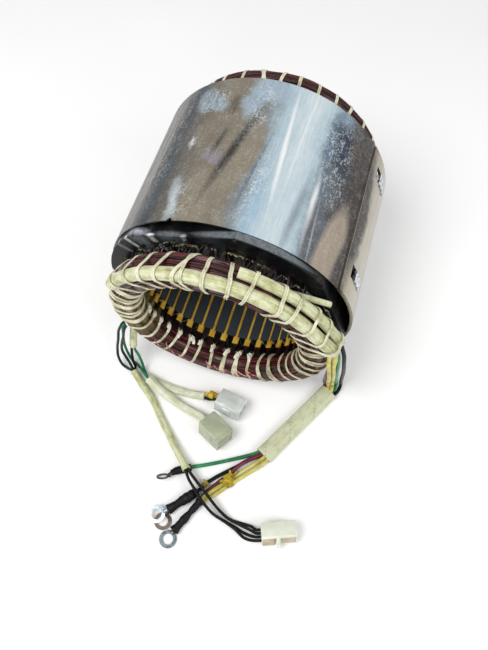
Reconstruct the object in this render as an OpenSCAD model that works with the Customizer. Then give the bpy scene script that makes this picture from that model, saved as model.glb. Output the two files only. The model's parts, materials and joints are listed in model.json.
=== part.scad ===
// Stator of a small engine-driven generator, lying on its side with its leads laid out in front.
// The bore's centre is the origin, the bore's axis is Y, the leads leave at -Y, and Z is up.
// Every length is in millimetres and every angle in degrees.

/* [Shroud] */
// Outer radius of the rolled sheet shroud
shroud_r = 95; // [93:0.5:98]
// Length of the shroud along the axis
shroud_len = 130; // [126:1:134]
// Thickness of the shroud's sheet
shroud_wall = 1; // [0.8:0.1:1.2]
// Angle of the middle of the overlapped seam, from +X towards +Z
seam_angle = 8; // [0:1:12]
// Angle that the overlapped seam covers
seam_span = 54; // [50:1:60]

/* [Core] */
// Length of the laminated stack
core_len = 131; // [129:1:133]
// How far the stack stands out of the shroud at the lead end
core_step = 6; // [5:0.5:7]
// Radius of the rotor bore
bore_r = 60; // [59.5:0.25:60.5]
// Distance from the axis to each of the four flats
flat_r = 85.5; // [84.5:0.5:87]
// Angle of the first flat's normal
flat_angle = 20; // [16:1:24]
// Number of slots
slot_count = 36; // [36]
// Angle of the first slot
slot_angle = 6.5; // [5:0.5:8]
// Width of a slot's mouth at the bore
slot_mouth = 2.5; // [2.3:0.1:2.6]
// Radius of a slot's bottom
slot_bottom_r = 77; // [75.5:0.5:78]

/* [Winding rings] */
// Radius of the middle of a winding ring
ring_r = 74.75; // [74.25:0.25:75.25]
// Radial thickness of a winding ring
ring_thick = 23.5; // [23:0.5:24]
// Axial length of a winding ring
ring_len = 20.5; // [20:0.5:21.5]
// Rounding of a winding ring's corners
ring_round = 9.5; // [8:0.5:10]
// How far a winding ring stands off the core's end
ring_stand = 8.5; // [8:0.25:9]
// Number of lacing loops round each ring
lace_count = 36; // [30:1:40]
// Width of the lacing tape
lace_width = 4.4; // [3.6:0.2:4.8]

/* [Leads] */
// Diameter of a main lead over its insulation
lead_d = 3.2; // [3:0.1:3.3]
// Diameter of a thin lead to the four-way connector
thin_d = 2.4; // [2.2:0.1:2.5]
// Diameter of the long thin sleeve
long_sleeve_d = 7; // [6.5:0.25:7.25]
// Diameter of the two sleeves that end in the square connectors
short_sleeve_d = 8; // [7.5:0.25:8.5]
// Length of the wide flat sleeve
wide_sleeve_len = 82; // [80:1:84]
// Outer width of the wide flat sleeve
wide_sleeve_w = 15.6; // [15.4:0.1:16]

/* [Ring terminals] */
// Outer radius of the two large ring terminals' eyes
eye_r = 7; // [6.75:0.25:7.25]
// Hole radius of the large ring terminals
eye_hole_r = 4.2; // [4:0.1:4.3]
// Thickness of a ring terminal's metal
eye_thick = 1; // [0.9:0.1:1.2]

/* [Hidden] */
$fn = 48;

steel_dark = "#33363a";
sheet_bright = "#b9bfc4";
wedge_yellow = "#c9a02c";
copper_red = "#5a1c1c";
tape_cream = "#ddd8bf";
sleeve_cream = "#d3d3ae";
nylon_ivory = "#dfe4d6";
nylon_green = "#a9b398";
tin_bright = "#c3c8ca";
tube_black = "#1b1b1d";

clear = 0.05;
core_r = shroud_r - shroud_wall;
core_front = shroud_len / 2 + core_step;
core_rear = core_front - core_len;
lead_ring_y = -(core_front + ring_stand + ring_len / 2);
rear_ring_y = -core_rear + ring_stand + ring_len / 2;
seat_r = 86;
seat_y = -99.5;
ring_sleeve_r = 5.2;
outer_seat_r = 90.5;
outer_seat_y = -90;
outer_sleeve_r = 4.2;
tape_thick = 0.8;
lace_angle = slot_angle + 5;
tail_turn = 40;
tail_len = 30;
outer_tail_turn = 32;
outer_tail_len = 23;
hook_lead_y = -42.5;
hook_rear_y = 48;
hook_len = 10;
hook_turn = 23.5;
lead_r = lead_d / 2;
thin_r = thin_d / 2;
pigtail_r = 1.3;
floor_z = -shroud_r;

// ---------- helpers ----------

// Children drawn about Z are laid about the Y axis, with +Z turned to -Y.
module along_axis() {
    rotate([90, 0, 0]) children();
}

// A plate of the child outline, between two places along Y.
module between_y(y_low, y_high) {
    along_axis() translate([0, 0, -y_high]) linear_extrude(y_high - y_low) children();
}

// Repeats the children round the axis of the drawing plane.
module around(count, first) {
    for (k = [0 : count - 1]) rotate(first + k * 360 / count) children();
}

// A rectangle with round corners, centred.
module rounded(size, r) {
    union() {
        square([size[0] - 2 * r, size[1]], center = true);
        square([size[0], size[1] - 2 * r], center = true);
        for (sx = [-1, 1], sy = [-1, 1])
            translate([sx * (size[0] / 2 - r), sy * (size[1] / 2 - r)]) circle(r);
    }
}

// A sweep about the Y axis of a profile drawn as [radius, distance towards -Y].
module turned(from = 0, span = 360) {
    along_axis() rotate([0, 0, from]) rotate_extrude(angle = span, $fn = 96) children();
}

function unit(v) = v / norm(v);

// Direction of travel at each point of a route.
function headings(p) = [for (i = [0 : len(p) - 1])
    unit(p[min(i + 1, len(p) - 1)] - p[max(i - 1, 0)])];

// Side vectors carried along the route without twist.
function sides(t, first, done = []) = len(done) == len(t) ? done :
    let (i = len(done), last = i == 0 ? first : done[i - 1])
    sides(t, first, concat(done, [unit(last - (last * t[i]) * t[i])]));

// A point of a route given as [x, y, height over the floor].
function above_floor(p) = [p[0], p[1], p[2] + floor_z];

// A point ahead of the end of a sleeve that is tied to the ring, as a route point.
function past_sleeve(r, y, turn, len, out, front, ahead) = [
    (r + out) * cos(turn) + (len + ahead) * sin(turn),
    y - front,
    (r + out) * sin(turn) - (len + ahead) * cos(turn) + shroud_r];
function past_main(out, front, ahead) =
    past_sleeve(seat_r, seat_y, tail_turn, tail_len, out, front, ahead);
function past_outer(ahead) =
    past_sleeve(outer_seat_r, outer_seat_y, outer_tail_turn, outer_tail_len, 0, 0, ahead);

// A point inside the wide sleeve: across its width, over the floor, and along from its mouth.
function in_wide(across, h, along) = [
    wide_mouth[0] + across * wide_right[0] + along * wide_way[0],
    wide_mouth[1] + across * wide_right[1] + along * wide_way[1],
    h];

// A point by a face: across and up in the face, and along its way out from it.
function by_face(at, way, across, up, along) =
    let (right = unit(cross(way, [0, 0, 1])))
    at + across * right + up * cross(right, way) + along * way;
function before_start(p, across, up, off) = by_face(p[0], unit(p[1] - p[0]), across, up, -off);
function past_end(p, across, up, off) =
    by_face(p[len(p) - 1], unit(p[len(p) - 1] - p[len(p) - 2]), across, up, off);

// A smooth curve through the points of a route, with one more point in each stretch.
// The first and the last stretch stay straight, so that an end meets its face squarely.
function between(p, i) = (9 * (p[i] + p[i + 1]) - p[i - 1] - p[i + 2]) / 16;
function smooth(p) = concat([p[0]],
    [for (i = [1 : len(p) - 3], k = [0, 1]) k == 0 ? p[i] : between(p, i)],
    [p[len(p) - 2], p[len(p) - 1]]);

// A tube of n sides swept along a route.
module tube(route, r, n = 8) {
    p = [for (q = route) above_floor(q)];
    t = headings(p);
    s = sides(t, unit(cross(t[0], abs(t[0][1]) < 0.9 ? [0, 1, 0] : [0, 0, 1])));
    last = len(p) - 1;
    points = [for (i = [0 : last], k = [0 : n - 1])
        p[i] + r * (cos(360 * k / n) * s[i] + sin(360 * k / n) * cross(t[i], s[i]))];
    walls = [for (i = [0 : last - 1], k = [0 : n - 1])
        [i * n + k, (i + 1) * n + k, (i + 1) * n + (k + 1) % n, i * n + (k + 1) % n]];
    start_cap = [for (k = [0 : n - 1]) k];
    end_cap = [for (k = [n - 1 : -1 : 0]) last * n + k];
    polyhedron(points = points, faces = concat(walls, [start_cap, end_cap]), convexity = 6);
}

// A straight round rod between two points given over the floor.
module rod(a, b, r) {
    v = b - a;
    translate(above_floor(a))
        rotate([0, acos(v[2] / norm(v)), atan2(v[1], v[0])])
            cylinder(h = norm(v), r = r);
}

// ---------- connectors: size, place of the middle, and turn ----------

four_way_size = [28.5, 13, 16];
four_way_turn = [-24, 0, 20.7];
four_way_at = [85.5, -214, 0];
upper_size = [24, 16, 15];
upper_turn = [-13, 0, -11.3];
upper_at = [17.1, -124.1, 0];
lower_size = [24.5, 18, 17];
lower_turn = [-15, -8, -29];
lower_at = [12.1, -150.3, 0];

// How high the middle of a turned box lies when its lowest corner is on the floor.
function lie(size, turn) = 0.05 + (size[0] * abs(sin(turn[1]))
    + size[1] * abs(cos(turn[1]) * sin(turn[0])) + size[2] * cos(turn[1]) * cos(turn[0])) / 2;

// A turned box's long axis and its cross axis.
function long_way(turn) = [cos(turn[1]) * cos(turn[2]), cos(turn[1]) * sin(turn[2]), -sin(turn[1])];
function cross_way(turn) = [
    cos(turn[2]) * sin(turn[1]) * sin(turn[0]) - sin(turn[2]) * cos(turn[0]),
    sin(turn[2]) * sin(turn[1]) * sin(turn[0]) + cos(turn[2]) * cos(turn[0]),
    cos(turn[1]) * sin(turn[0])];

// The middle of the face where the wires enter, as a route point.
function wire_face(size, turn, at) = [at[0], at[1], lie(size, turn)] - size[0] / 2 * long_way(turn);
four_way_face = wire_face(four_way_size, four_way_turn, four_way_at);
upper_face = wire_face(upper_size, upper_turn, upper_at);
lower_face = wire_face(lower_size, lower_turn, lower_at);
// A point off a wire face: across it, up it, and out from it.
function off_face(face, turn, across, up, off) = face + across * cross_way(turn)
    + up * cross(long_way(turn), cross_way(turn)) - off * long_way(turn);
function off_four_way(across, off) = off_face(four_way_face, four_way_turn, across, 0, off);
function off_upper(across, up, off) = off_face(upper_face, upper_turn, across, up, off);

// Places its children in a turned connector's own frame, with the wires at -X.
module at_connector(size, turn, at) {
    translate([at[0], at[1], lie(size, turn) + floor_z]) rotate(turn) children();
}

// ---------- routes: every point is [x, y, height over the floor] ----------

wide_mouth = [97, -86];
wide_way = [-0.4905, -0.8714];
wide_right = [0.8714, -0.4905];
wide_sleeve_h = 8.3;
wide_wall = 0.8;
low_layer = 2.5;
high_layer = 5.8;

black_shrink_path = [[12.5, -200.8, 4], [-6, -222, 4]];
black_shrink_r = 3.8;
yellow_shrink_path = [[17.4, -207.2, 3.7], [3.8, -236, 3.7]];
yellow_shrink_r = 3.6;
green_shrink_path = [[1, -184, 3.1], [-0.7, -185, 3.1], [-4.9, -187.3, 3.1], [-9, -189.7, 3.1],
    [-12.2, -192.2, 3.6], [-13.4, -193.6, 3.9]];
green_shrink_r = 3;

green_fall = [past_main(1.7, -1.7, 0.1), past_main(1.7, -1.7, 1.5), [90, -97.8, 119],
    [92.8, -98, 102], [94.6, -95.6, 82], [96.6, -91.2, 60], [98.4, -86, 39], [100.2, -81.2, 20],
    [101.5, -78.6, 9.5], [101.6, -81.2, 4.4], in_wide(1.8, low_layer, 0), in_wide(1.3, low_layer, 6)];
green_run = [in_wide(-4.7, low_layer, 76), in_wide(-5.1, low_layer, 82), [45.6, -159.7, 1.7],
    [38, -164.2, 1.7], [27, -170.4, 1.7], [15, -176.8, 1.7], [8, -180.3, 1.9],
    before_start(green_shrink_path, 0, 0, 1.6), before_start(green_shrink_path, 0, 0, 0.1)];
black_fall = [past_outer(0.1), past_outer(2), [91.6, -90.6, 117], [94.8, -91.4, 107],
    [98, -91, 88], [100.7, -88, 66], [102.6, -83.6, 41], [104.4, -79.4, 18], [105.5, -77.6, 8.5],
    [105.4, -81.3, 4], in_wide(5.2, low_layer, 0), in_wide(4.7, low_layer, 6)];
black_run = [in_wide(-1, low_layer, 76), in_wide(-1.4, low_layer, 82), [47.4, -162.8, 1.7],
    [40.2, -169.6, 1.7], [32, -177.4, 1.7], [27, -182, 1.7], [23, -186, 1.7], [16.6, -193.8, 2.5],
    before_start(black_shrink_path, 0, 0, 2.6), before_start(black_shrink_path, 0, 0, 0.1)];
red_fall = [past_main(-1.7, -1.7, 0.1), past_main(-1.7, -1.7, 1.5), [85.4, -99, 118],
    [86.9, -101, 104], [87.7, -99.8, 86], [88.3, -95.5, 64], [89.2, -90.5, 43], [90.2, -85.5, 25],
    [91.2, -81.4, 13], [92, -81, 8], in_wide(-5.2, high_layer, 0), in_wide(-5, high_layer, 6)];
red_run = [in_wide(-2.2, high_layer, 76), in_wide(-2, high_layer, 82), [48, -162.5, 5.4],
    [42, -168.2, 5.3], [38, -173.4, 5.1], [35.6, -177.6, 3.7], [33.6, -180.6, 2.2],
    [29.9, -184.8, 2.2], [25.2, -191, 1.8], [20.7, -197.5, 1.7],
    before_start(yellow_shrink_path, 1.65, -1.1, 2), before_start(yellow_shrink_path, 1.65, -1.1, 0.1)];
yellow_a_fall = [past_main(-1.7, 1.7, 0.1), past_main(-1.7, 1.7, 1.5), [85, -103, 120],
    [86.4, -104.8, 110], [88.8, -104, 94], [90.8, -99.7, 72], [92, -93.9, 50], [93.4, -88.2, 29],
    [94.8, -83.6, 15], [95.4, -82.9, 9], in_wide(-1.7, high_layer, 0), in_wide(-1.5, high_layer, 6)];
yellow_a_run = [in_wide(1.2, high_layer, 76), in_wide(1.4, high_layer, 82), [52, -165, 2.5],
    [45, -172.7, 1.8], [37, -182.1, 2.2], [31.8, -188, 2.2], [23.9, -197.6, 3.5],
    before_start(yellow_shrink_path, 0, 1.85, 2), before_start(yellow_shrink_path, 0, 1.85, 0.1)];
yellow_b_fall = [past_main(1.8, 1.7, 0.1), past_main(1.8, 1.7, 1.5), [88.9, -102.4, 121],
    [89.8, -103.1, 108], [91.8, -101.6, 92], [93.9, -96.6, 69], [95.4, -91, 47], [96.8, -86, 27],
    [98.2, -82.3, 15], [98.8, -83, 9.3], in_wide(1.8, high_layer, 0), in_wide(1.9, high_layer, 6)];
yellow_b_run = [in_wide(4.6, high_layer, 76), in_wide(4.8, high_layer, 82), [55.2, -167.6, 2.5],
    [48, -175.3, 1.8], [39.6, -184.5, 2.2], [34.4, -190.4, 2.2], [26, -200.3, 1.8],
    before_start(yellow_shrink_path, -1.65, -1.1, 2), before_start(yellow_shrink_path, -1.65, -1.1, 0.1)];

long_sleeve_path = [[-76.3, -117.6, 3.6], [-74.8, -118.9, 3.6], [-65.4, -127.1, 3.6],
    [-52.3, -136.8, 3.6], [-38.9, -150.8, 3.6], [-24.3, -165.3, 5], [-10.6, -178.7, 8.5],
    [-2.6, -186.3, 10.1], [-1.2, -187.7, 10.4]];
upper_sleeve_path = [[-62, -119, 4.1], [-60, -119.4, 4.1], [-47.7, -122, 4.1], [-34.1, -123.3, 4.1],
    [-20.7, -123.6, 5.2], [-9.3, -122.8, 7.1], [-7.3, -122.6, 7.4]];
lower_sleeve_path = [[-59, -123, 12.5], [-57.2, -123.8, 12.1], [-44.6, -129.4, 9], [-31.3, -133.8, 5.6],
    [-18.1, -137.8, 5.4], [-9, -140, 7.5], [-4, -141.5, 9.2],
    off_face(lower_face, lower_turn, 0, 0, 2), off_face(lower_face, lower_turn, 0, 0, 0.1)];

signal_a_path = [[-81.3, -97.2, 65.4], [-82.8, -98.4, 64], [-84.4, -99.4, 60.5], [-87, -100.6, 54], [-90, -103.8, 38],
    [-93, -107.5, 21], [-92.5, -111.5, 10.5], [-88.5, -115, 5.2], [-83.2, -116.6, 3],
    before_start(long_sleeve_path, 1.25, -0.75, 1.6), before_start(long_sleeve_path, 1.25, -0.75, 0.1)];
signal_b_path = [[-77.8, -100.6, 66.7], [-78.7, -101.9, 65.6], [-80, -103, 61.5], [-82.4, -104.7, 50],
    [-85.5, -106.6, 38],
    [-86.5, -109.3, 25], [-82.8, -112.2, 17.5], [-80.2, -114.2, 11], [-78.8, -115.6, 7.6],
    before_start(long_sleeve_path, 0, 1.4, 1.6), before_start(long_sleeve_path, 0, 1.4, 0.1)];
side_stub_path = [[-74.7, -95.2, 60], [-77.6, -103.5, 31.2]];
signal_c_path = [past_end(side_stub_path, 1.6, 0, 0.1), past_end(side_stub_path, 1.6, 0, 1.6),
    [-79.6, -107.5, 19], [-78.4, -111.4, 11], [-76.6, -114.2, 3.8],
    before_start(long_sleeve_path, -1.25, -0.75, 1.6), before_start(long_sleeve_path, -1.25, -0.75, 0.1)];
signal_d_path = [past_end(side_stub_path, -1.6, 0, 0.1), past_end(side_stub_path, -1.6, 0, 1.6),
    [-73.2, -107, 17], [-70, -110.8, 7.4], [-66.8, -115.4, 4],
    before_start(upper_sleeve_path, 0, 0, 1.6), before_start(upper_sleeve_path, 0, 0, 0.1)];
signal_e_path = [[-79.7, -99.1, 66], [-80.9, -100, 64.7], [-82, -100.8, 61], [-83.2, -101, 54],
    [-85.2, -101.4, 43], [-87, -103, 26], [-85, -106, 12], [-81, -109, 6], [-76, -110.8, 4.2], [-70.6, -114.4, 6.5],
    [-66.5, -118, 10.3],
    before_start(lower_sleeve_path, 0, 0, 1.6), before_start(lower_sleeve_path, 0, 0, 0.1)];

thin_a_path = [past_end(long_sleeve_path, 1.25, 1.25, 0.1), past_end(long_sleeve_path, 1.25, 1.25, 1.6),
    [3.3, -195, 12.2], [9, -199.8, 12.3], [16.4, -206.3, 12.1], [22.3, -210.3, 10.8],
    [30.3, -214.6, 7.6], [40.7, -217.3, 4.6], [50, -220.2, 4], [61, -225, 6.8],
    off_four_way(-4.5, 2.4), off_four_way(-4.5, 0.1)];
thin_b_path = [past_end(long_sleeve_path, 1.25, -1.25, 0.1), past_end(long_sleeve_path, 1.25, -1.25, 1.6),
    [3.3, -195, 9.7], [9, -199.7, 9.8], [16.5, -206.2, 9.6], [22.3, -210.1, 8.3],
    [30.2, -214.4, 5], [40.5, -216.9, 1.9], [49, -218.6, 1.4], [60, -221.4, 3.8],
    off_four_way(-1.5, 2.4), off_four_way(-1.5, 0.1)];
thin_c_path = [past_end(long_sleeve_path, -1.25, 1.25, 0.1), past_end(long_sleeve_path, -1.25, 1.25, 1.6),
    [8.7, -193.6, 10.8], [18.8, -200.2, 10.5], [27.4, -206.2, 9.1], [36, -211.3, 6.5],
    [43, -214.2, 4.5], [53, -216.2, 4.2], [62.5, -217.6, 6.2],
    off_four_way(1.5, 2.4), off_four_way(1.5, 0.1)];
thin_d_path = [past_end(long_sleeve_path, -1.25, -1.25, 0.1), past_end(long_sleeve_path, -1.25, -1.25, 1.6),
    [8.9, -193.8, 8.2], [18.9, -200.3, 7.9], [27.5, -206.3, 6.5], [36.2, -211.2, 3.9],
    [43.1, -213.9, 1.9], [53.5, -214.6, 1.5], [62.5, -214.6, 3.2],
    off_four_way(4.5, 2.4), off_four_way(4.5, 0.1)];
pigtail_yellow = [past_end(upper_sleeve_path, -1.6, 0.6, 0.1), past_end(upper_sleeve_path, -1.6, 0.6, 1.2),
    [-2.5, -119.8, 10.4], off_upper(1.9, 1.2, 2), off_upper(1.9, 1.2, 0.1)];
pigtail_black = [past_end(upper_sleeve_path, 1.6, -0.6, 0.1), past_end(upper_sleeve_path, 1.6, -0.6, 1.2),
    [-2.2, -124.3, 7.6], off_upper(-1.9, -0.8, 2), off_upper(-1.9, -0.8, 0.1)];

// ---------- core ----------

// Half the width of a slot at a radius.
function slot_half(r) = 2.5 + (r - 61.6) * 0.085;

module slot_outline() {
    polygon([[bore_r - 1, -slot_mouth / 2], [60.8, -slot_mouth / 2], [61.6, -2.5],
        [slot_bottom_r, -slot_half(slot_bottom_r)], [slot_bottom_r, slot_half(slot_bottom_r)],
        [61.6, 2.5], [60.8, slot_mouth / 2], [bore_r - 1, slot_mouth / 2]]);
}

// Places its children at the eight corners where a flat meets the round.
module at_flat_corners() {
    half = acos(flat_r / core_r);
    for (k = [0 : 3], s = [-1, 1])
        rotate(flat_angle + 90 * k + s * half) translate([core_r - 1.5, 0]) children();
}

module stator_core() {
    color(steel_dark) between_y(-core_front, -core_rear) difference() {
        intersection() {
            circle(core_r - clear, $fn = 96);
            rotate(flat_angle) square(2 * flat_r, center = true);
        }
        circle(bore_r, $fn = 96);
        around(slot_count, slot_angle) slot_outline();
        at_flat_corners() circle(1.4, $fn = 16);
    }
}

module core_welds() {
    color(steel_dark) between_y(-core_front + 1, -core_rear - 1)
        at_flat_corners() circle(1.3, $fn = 16);
}

// ---------- shroud ----------

// One window of the seam, through both of its sheets.
module seam_window(y_mid) {
    along_axis() translate([0, 0, -y_mid - hook_len / 2]) rotate([0, 0, hook_turn])
        rotate_extrude(angle = 5.5, $fn = 96) translate([core_r - 0.5, 0]) square([4, hook_len]);
}

module shroud() {
    color(sheet_bright) difference() {
        union() {
            turned() translate([core_r, -shroud_len / 2]) square([shroud_wall, shroud_len]);
            turned(seam_angle - seam_span / 2, seam_span)
                translate([shroud_r - 0.4, -shroud_len / 2 + 1])
                    square([shroud_wall + 0.4, shroud_len - 2]);
        }
        seam_window(hook_lead_y);
        seam_window(hook_rear_y);
        // A nick in the edge at the lead end.
        translate([0, -shroud_len / 2, 0]) rotate([0, -114, 0]) translate([core_r, 0, 0])
            rotate([0, 90, 0]) cylinder(h = 8, r = 2, center = true);
    }
}

// Each hook comes up through its window and lies back over the seam.
module seam_hook(y_mid) {
    wide = hook_len - 1;
    along_axis() translate([0, 0, -y_mid - wide / 2]) {
        rotate([0, 0, hook_turn - 8]) rotate_extrude(angle = 9.2, $fn = 96)
            translate([shroud_r + shroud_wall + clear, 0]) square([0.8, wide]);
        rotate([0, 0, hook_turn + 0.2]) rotate_extrude(angle = 1, $fn = 96)
            translate([core_r + clear, 0]) square([shroud_wall + 1.4, wide]);
    }
}

module seam_hooks() {
    color(sheet_bright) {
        seam_hook(hook_lead_y);
        seam_hook(hook_rear_y);
    }
}

// ---------- slots ----------

// The inside of a slot from a radius outward, drawn in from its walls and its bottom.
module slot_inside(from_r, inset) {
    to_r = slot_bottom_r - inset;
    polygon([[from_r, inset - slot_half(from_r)], [to_r, inset - slot_half(to_r)],
        [to_r, slot_half(to_r) - inset], [from_r, slot_half(from_r) - inset]]);
}

module slot_liners() {
    color(tape_cream) between_y(-core_front - 1.4, -core_rear + 1.4)
        around(slot_count, slot_angle) difference() {
            slot_inside(62.75, clear);
            slot_inside(62, 0.45);
        }
}

module slot_wedges() {
    color(wedge_yellow) between_y(-core_front - 6, -core_rear + 6)
        around(slot_count, slot_angle) translate([61.65, -2.45]) square([1, 4.9]);
}

// Each slot's bundle of turns runs from ring to ring.
module slot_windings() {
    color(copper_red) difference() {
        between_y(lead_ring_y, rear_ring_y) around(slot_count, slot_angle) slot_inside(63.2, 0.5);
        turned() ring_section(lead_ring_y, clear);
        turned() ring_section(rear_ring_y, clear);
    }
}

// ---------- winding rings ----------

// The ring's section, grown on every side.
module ring_section(y, grow) {
    translate([ring_r, -y])
        rounded([ring_thick + 2 * grow, ring_len + 2 * grow], ring_round + grow, $fn = 24);
}

// A round sleeve tied along the ring: an arc, then a straight tail that lifts off.
// The tail starts a little inside the arc and is a hair thinner, so the two are one solid.
module tied_tube(r, y, r_tube, turn, far, tail) {
    union() {
        turned(turn, far - turn) translate([r, -y]) circle(r_tube, $fn = 32);
        along_axis() translate([r * cos(turn), r * sin(turn), -y]) rotate([90, 0, turn])
            translate([0, 0, -1]) cylinder(h = tail + 1, r = r_tube - 0.04, $fn = 32);
    }
}

module main_tube(grow, more = 0) {
    tied_tube(seat_r, seat_y, ring_sleeve_r + grow, tail_turn, 149 + more, tail_len + more);
}

module outer_tube(grow, more = 0) {
    tied_tube(outer_seat_r, outer_seat_y, outer_sleeve_r + grow, outer_tail_turn, 80 + more,
        outer_tail_len + more);
}

module lead_end_winding() {
    color(copper_red) difference() {
        turned() ring_section(lead_ring_y, 0);
        main_tube(clear, 0.5);
        outer_tube(clear, 0.5);
    }
}

module rear_end_winding() {
    color(copper_red) turned() ring_section(rear_ring_y, 0);
}

// How far a tied sleeve runs out of line with the loop at an angle, once its tail has left the arc.
function skew(turn, a) = max(0, turn - a);

// The room a loop leaves for a tied sleeve that crosses it out of line.
function room(r_tube, off) = r_tube / cos(off) + lace_width / 2 * tan(off) + 0.15;

// The section of a tied sleeve where the loop at an angle goes over it.
module tied_section(r, y, r_tube, off, grow) {
    translate([r / cos(off), -y]) circle(room(r_tube, off) + grow, $fn = 24);
}

// One loop of lacing tape round the ring's section, over the sleeves that are tied there.
module lace_loop(y, angle, over_main = false, over_outer = false) {
    along_axis() rotate([90, 0, angle]) linear_extrude(lace_width, center = true) difference() {
        union() {
            ring_section(y, tape_thick);
            tied_sections(angle, over_main, over_outer, tape_thick);
        }
        ring_section(y, clear);
        tied_sections(angle, over_main, over_outer, 0);
        // The hollow between the ring and the two sleeves.
        if (over_main && over_outer) translate([87.2, 93.5]) circle(2.7, $fn = 24);
    }
}

module tied_sections(angle, over_main, over_outer, grow) {
    if (over_main)
        tied_section(seat_r, seat_y, ring_sleeve_r, skew(tail_turn, angle), grow);
    if (over_outer)
        tied_section(outer_seat_r, outer_seat_y, outer_sleeve_r, skew(outer_tail_turn, angle), grow);
}

module lead_end_lacing() {
    color(tape_cream) for (k = [0 : lace_count - 1]) {
        a = lace_angle + k * 360 / lace_count;
        lace_loop(lead_ring_y, a, a > 19 && a < 147, a > 19 && a < 78);
    }
}

module rear_end_lacing() {
    color(tape_cream) for (k = [0 : lace_count - 1])
        lace_loop(rear_ring_y, lace_angle + k * 360 / lace_count);
}

module main_ring_sleeve() {
    color(sleeve_cream) main_tube(0);
}

module outer_ring_sleeve() {
    color(sleeve_cream) outer_tube(0);
}

// Two short sleeves that come out of the ring at its side and at its back.
module side_sleeve_stub() {
    color(sleeve_cream) difference() {
        rod(side_stub_path[0], side_stub_path[1], 3.3);
        turned() ring_section(lead_ring_y, tape_thick + clear);
    }
}

module face_sleeve_stub() {
    color(sleeve_cream) difference() {
        rod([45.9, -82, 160.5], [75.5, -76, 147.2], 2.2);
        turned() ring_section(lead_ring_y, tape_thick + clear);
    }
}

// ---------- main leads ----------

module green_lead() {
    color("#2a7a4c") tube(concat(smooth(green_fall), smooth(green_run)), lead_r);
}

module black_lead() {
    color("#16211f") tube(concat(smooth(black_fall), smooth(black_run)), lead_r);
}

module red_lead() {
    color("#6b2035") tube(concat(smooth(red_fall), smooth(red_run)), lead_r);
}

module yellow_lead_a() {
    color("#b5a832") tube(concat(smooth(yellow_a_fall), smooth(yellow_a_run)), lead_r);
}

module yellow_lead_b() {
    color("#b5a832") tube(concat(smooth(yellow_b_fall), smooth(yellow_b_run)), lead_r);
}

module wide_sleeve() {
    color(sleeve_cream) translate(above_floor([wide_mouth[0], wide_mouth[1], wide_sleeve_h / 2]))
        rotate([90, 0, atan2(wide_way[1], wide_way[0]) + 90]) linear_extrude(wide_sleeve_len)
            difference() {
                rounded([wide_sleeve_w, wide_sleeve_h], 2.6);
                rounded([wide_sleeve_w - 2 * wide_wall, wide_sleeve_h - 2 * wide_wall], 1.8);
            }
}

// ---------- ring terminals ----------

// A terminal's flat eye with its tongue, lying level, and the barrel behind it.
module eye(at, r, r_hole, tongue_to, barrel_from, barrel_to, r_barrel) {
    way = tongue_to - at;
    difference() {
        union() {
            translate(above_floor(at)) linear_extrude(eye_thick) union() {
                circle(r);
                rotate(atan2(way[1], way[0])) translate([0, -r_barrel]) square([norm(way), 2 * r_barrel]);
            }
            rod(barrel_from, barrel_to, r_barrel);
        }
        translate(above_floor(at - [0, 0, 4])) cylinder(h = 12, r = r_hole);
    }
}

module green_shrink() {
    color(tube_black) tube(smooth(green_shrink_path), green_shrink_r, 12);
}

// The small terminal leans on its edge.
module green_eye() {
    color(tin_bright) difference() {
        union() {
            translate(above_floor([-19.3, -198.1, 4.75])) rotate([0, 0, 19]) rotate([-58, 0, 0])
                difference() {
                    union() {
                        cylinder(h = 0.9, r = 5.2, center = true);
                        translate([0, -1.6, -0.45]) cube([7, 3.2, 0.9]);
                    }
                    cylinder(h = 3, r = 3.2, center = true);
                }
            rod([-15, -195.9, 4.6], [-12.6, -192.8, 3.7], 1.6);
        }
        tube(smooth(green_shrink_path), green_shrink_r + clear, 12);
    }
}

module black_shrink() {
    color(tube_black) rod(black_shrink_path[0], black_shrink_path[1], black_shrink_r);
}

module black_upper_eye() {
    color(tin_bright) eye([-13.6, -227.8, 5.2], eye_r, eye_hole_r, [-7, -222.8, 5.2],
        [-9, -224.4, 6.1], [-6.25, -222.25, 6.1], 1.7);
}

module black_lower_eye() {
    color(tin_bright) eye([-7.6, -231.2, 0.1], eye_r, eye_hole_r, [-6.2, -223, 0.1],
        [-6.7, -225.6, 2.1], [-5.9, -223, 2.1], 1.7);
}

module yellow_shrink() {
    color(tube_black) rod(yellow_shrink_path[0], yellow_shrink_path[1], yellow_shrink_r);
}

module yellow_eye() {
    color(tin_bright) eye([1.1, -243, 0.1], eye_r, eye_hole_r, [3.5, -236.9, 0.1],
        [3.1, -237.8, 2.9], [3.75, -236.3, 3.2], 2.2);
}

// A band round leads that lie side by side.
module band(at, heading, hole, wall, wide) {
    translate(above_floor(at)) rotate([90, 0, heading + 90]) translate([0, 0, -wide / 2])
        linear_extrude(wide) difference() {
            rounded([hole[0] + 2 * wall, hole[1] + 2 * wall], hole[1] / 2 + wall - 0.01);
            rounded(hole, hole[1] / 2 - 0.01);
        }
}

module yellow_tie() {
    color("#d9ad1c") union() {
        band([34.5, -185.2, 2.2], 228.6, [10.6, 3.5], 0.4, 6);
        translate(above_floor([33, -183.7, 5])) rotate([0, 0, 48.6])
            cube([4.2, 5, 1.6], center = true);
    }
}

module small_tie() {
    color("#a8983a") band([16.6, -193.8, 2.5], 234, [3.8, 3.8], 0.6, 3);
}

// ---------- thin leads and their sleeves ----------

module signal_lead_a() {
    color("#10211f") tube(smooth(signal_a_path), thin_r);
}

module signal_lead_b() {
    color("#10211f") tube(smooth(signal_b_path), thin_r);
}

module signal_lead_c() {
    color("#10211f") tube(smooth(signal_c_path), thin_r);
}

module signal_lead_d() {
    color("#17603f") tube(smooth(signal_d_path), thin_r);
}

module signal_lead_e() {
    color("#17603f") tube(smooth(signal_e_path), thin_r);
}

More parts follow.
